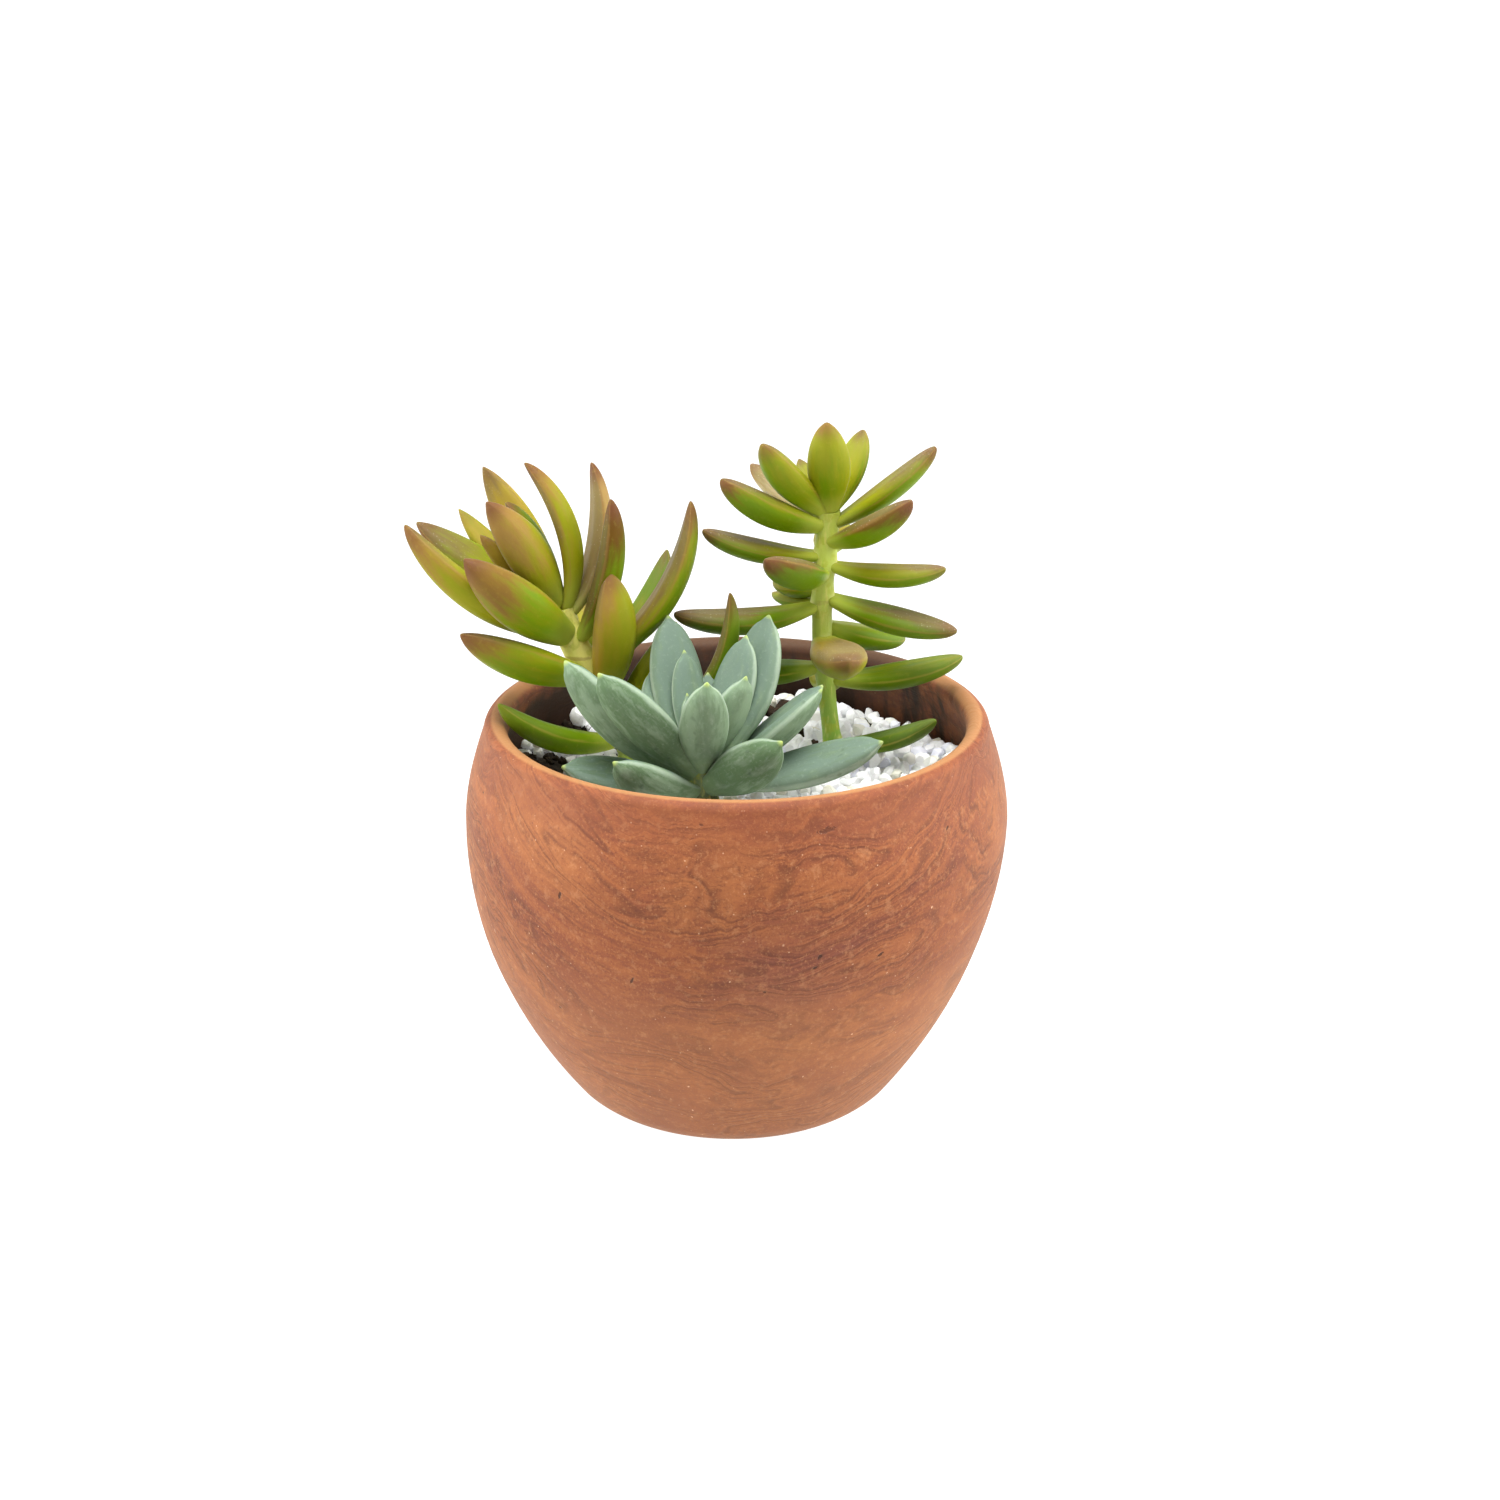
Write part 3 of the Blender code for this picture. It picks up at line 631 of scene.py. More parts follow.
def smooth_path(points, steps):
    """A smooth run of places through the points of a path."""
    ends = [points[0] * 2 - points[1], *points, points[-1] * 2 - points[-2]]
    run = []
    for a, b, c, d in zip(ends, ends[1:], ends[2:], ends[3:]):
        for i in range(steps):
            t = i / steps
            run.append(
                0.5 * (2 * b + (c - a) * t + (2 * a - 5 * b + 4 * c - d) * t * t
                       + (3 * b - a - 3 * c + d) * t**3)
            )
    return [*run, points[-1]]


def stem_path(shoot, steps=3):
    return smooth_path([Vector(p) * MM for p in shoot.path], steps)


def place_at_height(path, height):
    for a, b in zip(path, path[1:]):
        if a.z <= height <= b.z:
            return a.lerp(b, (height - a.z) / (b.z - a.z))
    return path[-1].copy()


def leaf_frame(root, leaf, lean):
    """Matrix of a leaf: X from root to tip, Z out of its upper face, which turns to the shoot."""
    ahead = direction(leaf.azimuth, leaf.rise)
    face = lean - ahead * lean.dot(ahead)
    if face.length < 0.08:
        face = direction(leaf.azimuth, leaf.rise + 90)
    face.normalize()
    face.rotate(Matrix.Rotation(math.radians(leaf.roll), 3, ahead))
    side = face.cross(ahead)
    matrix = Matrix((ahead, side, face)).transposed().to_4x4()
    matrix.translation = root
    return matrix


def shoot_leaves(shoot):
    """Each leaf of a shoot with its frame. Young leaves gather towards the shoot's lean."""
    path = stem_path(shoot)
    low, high = shoot.path[1][2], shoot.path[-1][2]
    for leaf in shoot.leaves:
        share = min(1.0, max(0.0, (leaf.at - low) / (high - low)))
        lean = Vector((0.0, 0.0, 1.0)).lerp(Vector(shoot.lean), share).normalized()
        yield leaf, leaf_frame(place_at_height(path, leaf.at * MM), leaf, lean)


# %% Form of a leaf
LEAF_SIDES = 28
LEAF_RINGS = 44
BEAK_START = 0.975
FOOT_END = 0.07
TIP_FLESH = 0.75


def leaf_width(t, form):
    """Share of the full width at t, from the root at 0 to the tip at 1."""
    power = math.log(0.5) / math.log(form.belly)
    swell = np.sin(np.pi * t**power).clip(0) ** np.where(t > form.belly, form.blunt, form.fullness)
    foot = 0.35 + 0.65 * np.clip(t / FOOT_END, 0, 1)
    return np.hypot(swell, form.neck * (1 - t) ** 2) * foot


def midline(t, length, degrees):
    """The curved midline: how far along and above the line root to tip, and its slope."""
    curl = math.radians(degrees)
    radius = length / (2 * math.sin(curl / 2))
    bend = curl * (t - 0.5)
    along = radius * (np.sin(bend) + math.sin(curl / 2))
    return along, radius * (math.cos(curl / 2) - np.cos(bend)), bend


def shape_leaf(sphere, leaf, form, matrix, sun, draw):
    """Draws a sphere out into one leaf, and stores where on the leaf each vertex is."""
    spots = places(sphere)
    t = (1 + spots[:, 2]) / 2
    angle = np.arctan2(spots[:, 1], spots[:, 0])
    side, lift = np.cos(angle), np.sin(angle)
    crown = form.upper * (1.5 * lift - 0.5 * lift**4)
    keel = form.lower * (0.8 * lift - 0.2 * (1 - abs(side)))
    height = np.where(lift > 0, crown, keel)
    end = np.clip((t - BEAK_START) / (1 - BEAK_START), 0, 1)
    share = leaf_width(t, form) * (1 - form.pinch * end)
    width, length = leaf.width * MM, leaf.length * MM
    along, above, bend = midline(t, length - form.beak, leaf.curl)
    height = height * width * form.thickness * np.where(t > form.belly, share**TIP_FLESH, share)
    beak = form.beak * end**1.5
    sway = draw.uniform(-0.03, 0.03) * length * np.sin(np.pi * t)
    local = np.stack([
        along + beak * np.cos(bend) - height * np.sin(bend),
        side * width / 2 * share + sway,
        above + beak * np.sin(bend) + height * np.cos(bend),
    ], axis=1)
    turned = np.array(matrix)
    set_places(sphere, local @ turned[:3, :3].T + turned[:3, 3])
    pole = np.hypot(spots[:, 0], spots[:, 1]) < 0.0001
    upper = np.where(pole, 0.5, np.clip(0.5 + 3.0 * lift, 0, 1))
    rim = np.where(pole, 1.0, abs(side) ** 8)
    keep_values(sphere, "leaf_place", np.stack([t, upper, rim], axis=1))
    # How much each vertex faces the shoot's sun, stored for the skin. It is partly the leaf's own sun
    # colour and partly painted light on the faces turned to the light.
    facing = np.zeros(len(t) * 3)
    sphere.vertex_normals.foreach_get("vector", facing)
    sun_colour_and_light = facing.reshape(-1, 3) @ np.array(sun) / 2 + 0.5
    marks = np.stack([np.full(len(t), leaf.gold), np.full(len(t), leaf.blush), sun_colour_and_light], axis=1)
    keep_values(sphere, "leaf_tint", marks)
    number = draw.random() * 0.1
    flow = [t * length * 0.35, side * width / 2 * share, number + lift * 0.004]
    keep_values(sphere, "leaf_flow", np.stack(flow, axis=1))


def make_leaves(shoot, seed):
    """All the leaves of a shoot as one piece."""
    draw = random.Random(seed)
    first = add_alone(bpy.ops.mesh.primitive_uv_sphere_add, segments=LEAF_SIDES, ring_count=LEAF_RINGS)
    bpy.ops.object.shade_smooth()
    leaves = []
    for leaf, matrix in shoot_leaves(shoot):
        copy = add_object("leaf", first.data.copy())
        shape_leaf(copy.data, leaf, shoot.form, matrix, shoot.sun, draw)
        leaves.append(copy)
    bpy.data.objects.remove(first)
    return join(shoot.name + "_leaves", leaves)


tall_leaves = make_leaves(TALL_SHOOT, 5)
right_leaves = make_leaves(RIGHT_SHOOT, 6)
rosette_leaves = make_leaves(ROSETTE_SHOOT, 7)

# %% [markdown]
# A stem is a tube along the shoot's path, slightly swollen where each leaf springs from it and
# ringed by the scars of leaves that fell. It starts as a curve with a round section, which is turned
# into a mesh, and the swellings are pushed out of that mesh.

# %% Stem tubes
STEM_STEPS = 12
NODE_REACH = 0.0022
NODE_SWELL = 0.00050
SCAR_RISE = 0.00010
SCAR_WIDTH = 0.0005
FOOT_FLARE = 0.30
FLARE_HEIGHT = 0.0022
GRAVEL_TOP = 0.0856


def make_stem(shoot, scars, seed):
    draw = random.Random(seed)
    path = stem_path(shoot, STEM_STEPS)
    data = bpy.data.curves.new(shoot.name + "_stem", "CURVE")
    data.dimensions = "3D"
    data.bevel_depth = 1.0
    data.bevel_resolution = 6
    data.use_fill_caps = True
    spline = data.splines.new("POLY")
    spline.points.add(len(path) - 1)
    for i, (point, place) in enumerate(zip(spline.points, path)):
        share = i / (len(path) - 1)
        flare = 1 + FOOT_FLARE * math.exp(-max(place.z - GRAVEL_TOP + 0.001, 0) / FLARE_HEIGHT)
        point.co = (*place, 1.0)
        point.radius = (shoot.radius[0] * (1 - share) + shoot.radius[1] * share) * MM * flare
    pick(add_object(shoot.name + "_stem", data))
    bpy.ops.object.convert(target="MESH")
    stem = bpy.context.object
    spots = places(stem.data)
    grown = spots.copy()
    joints = np.zeros(len(spots))
    centre = np.array([place_at_height(path, spot[2]) for spot in spots])
    out = spots - centre
    out /= np.maximum(np.linalg.norm(out, axis=1), 0.0001)[:, None]
    for leaf, matrix in shoot_leaves(shoot):
        ahead = np.array(direction(leaf.azimuth, leaf.rise))
        root = np.array(matrix.translation)
        near = np.exp(-(np.linalg.norm(spots - root - ahead * 0.0025, axis=1) / NODE_REACH) ** 2)
        grown += out * (near * NODE_SWELL)[:, None]
        joints = np.maximum(joints, near)
    marks = np.zeros(len(spots))
    for scar in range(scars):
        height = GRAVEL_TOP + (path[-1].z - GRAVEL_TOP) * (scar + draw.uniform(0.1, 0.9)) / scars
        turned = draw.uniform(0, math.tau)
        facing = out[:, 0] * math.cos(turned) + out[:, 1] * math.sin(turned)
        ring = np.exp(-((spots[:, 2] - height) / SCAR_WIDTH) ** 2) * np.clip(facing, 0, 1)
        marks = np.maximum(marks, ring)
    grown += out * (marks * SCAR_RISE)[:, None]
    set_places(stem.data, grown)
    keep_values(stem.data, "scar", marks)
    keep_values(stem.data, "joint", joints)
    bpy.ops.object.shade_smooth()
    return stem


tall_stem = make_stem(TALL_SHOOT, 6, 31)
right_stem = make_stem(RIGHT_SHOOT, 4, 32)
rosette_stem = make_stem(ROSETTE_SHOOT, 0, 33)

# %% [markdown]
# Stonecrop leaves are glossy and fleshy. They are bright green where they are young or shaded, and
# the sun turns them golden and brown from the tip down. The leaf's own measures, stored on its
# vertices, drive that: how far along the leaf a point is, whether it lies on the upper face, how near
# the edge, and how much it faces the sun. The faces turned to the sun are painted more golden: partly
# the leaf's own sun colour, partly painted light. The table's gold and blush say how far each leaf
# has turned.

# %% Stonecrop skin
LEAF_GREEN = seen(106, 134, 0)
DEEP_GREEN = seen(66, 92, 8)
LEAF_LIME = seen(138, 140, 14)
ROOT_GREEN = seen(190, 200, 80)
LEAF_GOLD = seen(162, 136, 36)
TAN = seen(160, 126, 66)
RED_BROWN = seen(100, 54, 4)
UPPER_TAUPE = seen(104, 92, 56)
TIP_BROWN = seen(104, 62, 40)
EDGE_GOLD = seen(180, 164, 70)
EDGE_RED = seen(146, 98, 50)
PALE_DUST_AND_HIGHLIGHT = seen(214, 202, 176)
WAX_AND_SHEEN_GREY = seen(160, 162, 128)
BLEACHED = seen(206, 192, 156)


def flesh(name, gloss, depth):
    """The start of a living skin: light goes into it and comes out green."""
    return Paint(name, Specular_IOR_Level=gloss, Subsurface_Weight=depth, Subsurface_Scale=0.003,
                 Subsurface_Radius=(0.6, 1.0, 0.2))


def stonecrop_skin(name, wax_and_sheen):
    skin = flesh(name, 0.08, 0.2)
    along, upper, rim = skin.parts(skin.stored("leaf_place", "Vector"))
    gold, blush, sun_colour_and_light = skin.parts(skin.stored("leaf_tint", "Vector"))
    flow = skin.stored("leaf_flow", "Vector")
    place = skin.object_place()
    patch = skin.cloud(flow, 170.0, 3.0) - 0.5
    veins = skin.cloud(skin.stretch(flow, (0.5, 1.0, 1.0)), 700.0, 3.0, 0.6) - 0.5
    mottle = skin.cloud(place, 700.0, 3.0, 0.6)
    # Faces turned to the sun are painted more golden and browner: partly the leaf's sun colour, partly
    # painted light.
    ripeness = gold + (sun_colour_and_light - 0.5) * 0.8 + patch * 0.8 + veins * 0.5
    green = skin.blend(skin.rise(gold, 0.0, -0.5), LEAF_GREEN, DEEP_GREEN)
    colour = skin.blend(skin.rise(ripeness, 0.0, 0.5), green, LEAF_LIME)
    colour = skin.spread(
        colour,
        (ripeness, 0.5, 1.0, 1.0, LEAF_GOLD),
        (gold, 1.0, 1.3, 0.8, BLEACHED),
        (along, 0.38, 0.0, 0.85, ROOT_GREEN),
    )
    flush = along * 0.50 + sun_colour_and_light * 0.50 + blush * 1.10 + patch * 0.55 + veins * 0.4 - 1.25
    flush = skin.rise(flush, 0.0, 0.38) * skin.rise(along, 0.03, 0.30)
    brown = skin.blend(gold, RED_BROWN, TAN)
    brown = skin.blend(upper * 0.70, brown, UPPER_TAUPE)
    colour = skin.blend(flush * 0.9, colour, brown)
    colour = skin.spread(colour, (along, 0.82, 0.98, blush, TIP_BROWN))
    margin = skin.rise(rim + veins * 0.3, 0.88, 1.0) * skin.rise(along, 0.1, 0.4)
    colour = skin.blend(margin * 0.4, colour, skin.blend(blush, EDGE_GOLD, EDGE_RED))
    colour = skin.spread(colour, (mottle, 0.55, 0.75, 0.12, EDGE_GOLD))
    # A pale grey over the upper faces towards the tip: partly wax, partly a painted sheen.
    waxed_and_sheen = skin.rise(along, 0.35, 0.85) * (upper * 0.6 + 0.4)
    colour = skin.blend(waxed_and_sheen * wax_and_sheen, colour, WAX_AND_SHEEN_GREY)
    # Pale specks on the flushed upper faces: partly dust, partly painted highlight.
    dust = skin.grains(place, 1500.0, 0.35, 0.1, 0.35) * upper * flush
    colour = skin.blend(dust * wax_and_sheen * 2, colour, PALE_DUST_AND_HIGHLIGHT)
    skin.feed(Base_Color=colour, Roughness=mottle * 0.25 + 0.32)
    skin.raise_surface(mottle + patch + veins, 0.00008)
    return skin.material


finish_piece(tall_leaves, stonecrop_skin("golden_stonecrop", 0.08), "golden_leaves", "tall_sedum")
finish_piece(right_leaves, stonecrop_skin("green_stonecrop", 0.12), "green_leaves", "right_sedum")

# %% [markdown]
# The stems are the same living green, paler than the leaves, and brown where a leaf has fallen.

# %% Stem skin
STEM_PALE = seen(228, 222, 122)
STEM_LIME = seen(176, 182, 50)
STEM_GREEN = seen(146, 168, 66)
SCAR_BROWN = seen(150, 118, 66)
JOINT_PALE = seen(226, 224, 140)


def stem_skin(name, top_colour, foot_colour, top_height):
    skin = flesh(name, 0.3, 0.15)
    place = skin.object_place()
    scar, joint = skin.stored("scar"), skin.stored("joint")
    streaks = skin.cloud(skin.stretch(place, (900.0, 900.0, 220.0)), 1.0, 3.0, 0.6)
    patches = skin.cloud(place, 300.0, 3.0, 0.6)
    rough = skin.cloud(place, 1300.0, 3.0, 0.7)
    height = skin.parts(place)[2]
    colour = skin.blend(skin.rise(height, GRAVEL_TOP, top_height), foot_colour, top_colour)
    colour = skin.spread(
        colour,
        (patches, 0.50, 0.62, 0.5, STEM_LIME),
        (streaks, 0.5, 0.7, 0.5, STEM_PALE),
        (joint, 0.3, 0.9, 0.6, JOINT_PALE),
        (scar + rough * 0.5, 0.5, 0.9, 0.5, SCAR_BROWN),
    )
    skin.feed(Base_Color=colour, Roughness=streaks * 0.2 + 0.35)
    skin.raise_surface(streaks + patches + rough * 0.4, 0.0002)
    return skin.material


tall_skin = stem_skin("pale_stem", STEM_PALE, STEM_GREEN, 0.096)
right_skin = stem_skin("green_stem", seen(192, 206, 90), seen(138, 178, 66), 0.12)
finish_piece(tall_stem, tall_skin, "golden_leaves", "tall_sedum")
finish_piece(right_stem, right_skin, "green_leaves", "right_sedum")

# %% [markdown]
# The rosette's leaves wear a bloom, a fine wax powder that scatters light and turns the green
# under it blue-grey. It is thick on the upper faces and edges, and rubbed thin in spots. The tip of
# each leaf is a small lime-coloured beak without powder.

# %% Rosette skin
BLOOM = seen(112, 132, 112)
BLOOM_BLUE = seen(110, 130, 126)
BLOOM_PALE = seen(172, 188, 166)
UNDER_BLOOM = seen(128, 150, 120)
BARE_GREEN = seen(80, 106, 68)
ROOT_BLOOM = seen(156, 182, 134)
BEAK_LIME = seen(180, 196, 104)
RUBBED = seen(84, 102, 78)


def rosette_skin():
    skin = flesh("bloomed_skin", 0.15, 0.08)
    along, upper, rim = skin.parts(skin.stored("leaf_place", "Vector"))
    gold = skin.parts(skin.stored("leaf_tint", "Vector"))[0]
    flow = skin.stored("leaf_flow", "Vector")
    place = skin.object_place()
    patch = skin.cloud(skin.warp(flow, 200.0, 0.004), 230.0, 4.0, 0.65) - 0.5
    streaks = skin.cloud(skin.stretch(flow, (0.6, 1.0, 1.0)), 900.0, 3.0, 0.6) - 0.5
    fine = skin.cloud(place, 1200.0, 2.0, 0.6)
    thin = gold * (1 - upper * 0.4) + patch * 2.8 + streaks
    colour = skin.blend(upper, UNDER_BLOOM, BLOOM)
    blue = upper * skin.rise(along, 0.25, 0.6) * skin.rise(rim, 0.5, 0.0)
    colour = skin.blend(blue * 0.25, colour, BLOOM_BLUE)
    colour = skin.spread(
        colour,
        (thin, 0.05, 0.75, 0.85, BARE_GREEN),
        (along, 0.45, 0.05, 0.65, ROOT_BLOOM),
        (patch * 1.4 + streaks * 0.3, -0.05, 0.45, 0.5, BLOOM_PALE),
        (rim + streaks * 0.5, 0.60, 1.0, 0.60, BLOOM_PALE),
    )
    rubbed = skin.grains(skin.warp(place, 300.0, 0.004), 330.0, 0.16, 0.05, 0.35)
    colour = skin.blend(rubbed * skin.rise(gold, 0.0, 0.6) * 0.8, colour, RUBBED)
    beak = skin.rise(along, 0.988, 0.999)
    colour = skin.blend(beak * 0.75, colour, BEAK_LIME)
    colour = skin.spread(colour, (fine, 0.55, 0.75, 0.18, BLOOM_PALE))
    skin.feed(Base_Color=colour, Roughness=fine * 0.2 + 0.5 - beak * 0.2)
    skin.raise_surface(fine * 0.4 + patch + streaks * 0.4, 0.00014)
    return skin.material


short_skin = stem_skin("rosette_stem", seen(120, 140, 96), seen(96, 110, 66), 0.09)
finish_piece(rosette_leaves, rosette_skin(), "blue_leaves", "blue_rosette")
finish_piece(rosette_stem, short_skin, "blue_leaves", "blue_rosette")

# %% [markdown]
# The soil fills the bowl to a few millimetres under the gravel. It is turned like the bowl, from its
# wall to the middle, and its top is crumbled by noise. In a few places no gravel lies, and there the
# soil comes up to the light.

# %% Soil
GROUND = 0.0792
SOIL_GAP = 0.0004
SOIL_RINGS = 64
SOIL_STEPS = 160
DUST_LIMIT = 0.054
Patch = namedtuple("Patch", "x y reach rise")
BARE_PATCHES = [Patch(*row) for row in (
    (0.0120, 0.0400, 0.0080, 0.0045), (0.0135, 0.0290, 0.0060, 0.0040),
    (-0.0340, 0.0440, 0.0070, 0.0050), (-0.0430, 0.0310, 0.0085, 0.0040),
    (-0.0310, 0.0190, 0.0060, 0.0040), (-0.0495, 0.0085, 0.0115, 0.0030),
    (-0.0430, -0.0050, 0.0080, 0.0025), (0.0180, 0.0180, 0.0035, 0.0040),
    (-0.0080, -0.0220, 0.0080, 0.0020),
)]


def nearness(patch, x, y):
    """1 in the middle of a patch, falling to 0 outside."""
    return math.exp(-((x - patch.x) ** 2 + (y - patch.y) ** 2) / patch.reach**2)


def bareness(x, y):
    return max(nearness(patch, x, y) for patch in BARE_PATCHES)


def ground_height(x, y):
    lift = max(patch.rise * nearness(patch, x, y) for patch in BARE_PATCHES)
    crumbs = noise.fractal(Vector((x, y, 0.0)) * 420.0, 0.9, 2.1, 3) * 0.00055
    return GROUND + lift + crumbs


def make_soil():
    wall = [(r - SOIL_GAP, h + SOIL_GAP) for r, h in inside_outline() if h < GROUND - 0.003]
    wall[0] = (0.0, wall[0][1])
    edge = wall_radius(GROUND) - WALL - SOIL_GAP
    top = [(edge * (i / SOIL_RINGS) ** 0.8, GROUND) for i in range(SOIL_RINGS + 1)]
    soil = turn("potting_soil", top + wall[::-1], SOIL_STEPS)
    spots = places(soil.data)
    for spot in spots:
        if spot[2] > GROUND - 0.0001:
            spot[2] = ground_height(spot[0], spot[1])
    set_places(soil.data, spots)
    dust = [max(0, 1 - 1.6 * bareness(x, y)) * (math.hypot(x, y) < DUST_LIMIT) for x, y, _ in spots]
    keep_values(soil.data, "dust", dust)
    return soil


# %% [markdown]
# Crumbs of soil and chips of bark lie on the bare patches. A crumb is a small ball and a bark chip a
# flat block, both roughened vertex by vertex and laid down with a turn.


# %% Crumbs and bark
CRUMB_COUNT = 540
CRUMB_LIMIT = 0.0565
CRUMB_ROUGHNESS = 0.28
Chip = namedtuple("Chip", "x y half_length half_width turned")
CHIPS = [Chip(*row) for row in (
    (0.0112, 0.0405, 0.0052, 0.0017, 75), (0.0145, 0.0375, 0.0035, 0.0014, 20),
    (0.0085, 0.0435, 0.0030, 0.0013, 130), (-0.0345, 0.0435, 0.0045, 0.0016, 10),
    (-0.0310, 0.0455, 0.0030, 0.0015, 60), (-0.0380, 0.0410, 0.0028, 0.0012, 140),
    (-0.0305, 0.0190, 0.0034, 0.0013, 30), (-0.0340, 0.0210, 0.0026, 0.0011, 100),
    (-0.0520, 0.0110, 0.0030, 0.0013, 60), (-0.0460, 0.0050, 0.0034, 0.0012, 110),
    (0.0175, 0.0190, 0.0022, 0.0010, 20),
)]


def lay(source, place, turn_by, scale):
    """A copy of a mesh, scaled, turned and laid at a place, with a mesh of its own."""
    copy = add_object(source.name, source.data.copy())
    copy.data.transform(Matrix.LocRotScale(place, turn_by, scale))
    return copy


def random_turn(draw, tilt=math.pi):
    return (Matrix.Rotation(draw.uniform(0, math.tau), 3, "Z")
            @ Matrix.Rotation(draw.uniform(-tilt, tilt), 3, "X")
            @ Matrix.Rotation(draw.uniform(0, math.tau), 3, "Z")).to_quaternion()


def make_crumbs():
    draw = random.Random(8)
    ball = add_alone(bpy.ops.mesh.primitive_ico_sphere_add, subdivisions=2, radius=1.0)
    bpy.ops.object.shade_smooth()
    for vert in ball.data.vertices:
        vert.co *= 1 + draw.uniform(-CRUMB_ROUGHNESS, CRUMB_ROUGHNESS)
    crumbs = []
    for i in range(CRUMB_COUNT):
        patch = BARE_PATCHES[i % len(BARE_PATCHES)]
        out, turned = patch.reach * 1.25 * math.sqrt(draw.random()), draw.uniform(0, math.tau)
        x, y = patch.x + out * math.cos(turned), patch.y + out * math.sin(turned)
        if math.hypot(x, y) > CRUMB_LIMIT:
            continue
        size = draw.uniform(0.0004, 0.0013)
        place = Vector((x, y, ground_height(x, y) + size * 0.3))
        shape = Vector((1, draw.uniform(0.7, 1), draw.uniform(0.5, 0.9))) * size
        crumbs.append(lay(ball, place, random_turn(draw), shape))
    bpy.data.objects.remove(ball)
    return join("soil_crumbs", crumbs)


def make_bark():
    draw = random.Random(9)
    noise.seed_set(9)
    block = add_alone(bpy.ops.mesh.primitive_cube_add, size=2.0)
    bpy.ops.object.mode_set(mode="EDIT")
    bpy.ops.mesh.subdivide(number_cuts=3)
    bpy.ops.object.mode_set(mode="OBJECT")
    chips = []
    for chip in CHIPS:
        copy = add_object("chip", block.data.copy())
        for vert in copy.data.vertices:
            bend = noise.noise_vector(vert.co * 1.3 + Vector((chip.x, chip.y, 0)) * 900)
            vert.co += bend * 0.45
        tipped = Matrix.Rotation(draw.uniform(-0.3, 0.3), 3, "Y")
        turn_by = Matrix.Rotation(math.radians(chip.turned), 3, "Z") @ tipped
        place = Vector((chip.x, chip.y, ground_height(chip.x, chip.y) + chip.half_width * 0.5))
        shape = Vector((chip.half_length, chip.half_width, chip.half_width * 0.6))
        copy.data.transform(Matrix.LocRotScale(place, turn_by.to_quaternion(), shape))
        chips.append(copy)
    bpy.data.objects.remove(block)
    bark = join("bark_chips", chips)
    bpy.ops.object.shade_smooth_by_angle(angle=math.radians(50))
    return bark


soil = make_soil()
crumbs = make_crumbs()
bark = make_bark()


# %% Soil and bark colours
QUARTZ_DUST = seen(226, 226, 220)


def dark_matter(name, dark, light, scale):
    matter = Paint(name, Specular_IOR_Level=0.2, Roughness=0.9)
    place = matter.object_place()
    lumps = matter.cloud(place, scale, 4.0, 0.65)
    colour = matter.blend(matter.rise(lumps, 0.35, 0.75), dark, light)
    matter.feed(Base_Color=matter.blend(matter.stored("dust") * 0.9, colour, QUARTZ_DUST))
    matter.raise_surface(lumps, 0.0004)
    return matter.material


soil_paint = dark_matter("potting_soil", seen(30, 24, 18), seen(66, 54, 40), 500.0)
bark_paint = dark_matter("bark", seen(26, 19, 12), seen(72, 54, 36), 700.0)
finish_piece(soil, soil_paint, "soil", "soil")
finish_piece(crumbs, soil_paint, "soil", "soil")
finish_piece(bark, bark_paint, "soil", "soil")

# %% [markdown]
# The gravel is crushed quartz, two to five millimetres across. Each kind of stone starts as a ball,
# and flat cuts through it, as made by the crusher, give it facets. Eight kinds are enough, because
# every copy is turned and stretched another way. The stones fall one after another: each comes to
# rest on the ground or on those below it, rolls to the lowest place near by, and stays off the plants.

# %% Stone kinds
STONE_KINDS = 8
CUTS = 10
STONE_LIMIT = 0.0566
STONE_COUNT = 5200
SMALL_SHARE = 0.75
SMALL_STONES = (0.0014, 0.0025)
LARGE_STONES = (0.0024, 0.0031)
ROLLS = 7
PACKING = 0.74
Stone = namedtuple("Stone", "place radius")
FIRST_STONES = (
    Stone((-0.0066, -0.0262, 0.0850), 0.0019),
    Stone((0.0335, 0.0060, 0.0848), 0.0030),
    Stone((0.0400, 0.0120, 0.0852), 0.0027),
    Stone((-0.0390, 0.0330, 0.0860), 0.0028),
)


def make_stone(draw):
    """A ball with flat cuts through it."""
    stone = add_alone(bpy.ops.mesh.primitive_ico_sphere_add, subdivisions=2, radius=1.0)
    bpy.ops.object.mode_set(mode="EDIT")
    for _ in range(CUTS):
        away = Vector((draw.gauss(0, 1), draw.gauss(0, 1), draw.gauss(0, 1))).normalized()
        bpy.ops.mesh.select_all(action="SELECT")
        spot = away * draw.uniform(0.56, 0.82)
        bpy.ops.mesh.bisect(plane_co=spot, plane_no=away, use_fill=True, clear_outer=True)
    bpy.ops.mesh.select_all(action="SELECT")
    bpy.ops.mesh.dissolve_limited(angle_limit=math.radians(14))
    bpy.ops.mesh.normals_make_consistent(inside=False)
    bpy.ops.object.mode_set(mode="OBJECT")
    bpy.ops.object.shade_smooth_by_angle(angle=math.radians(36))
    return stone


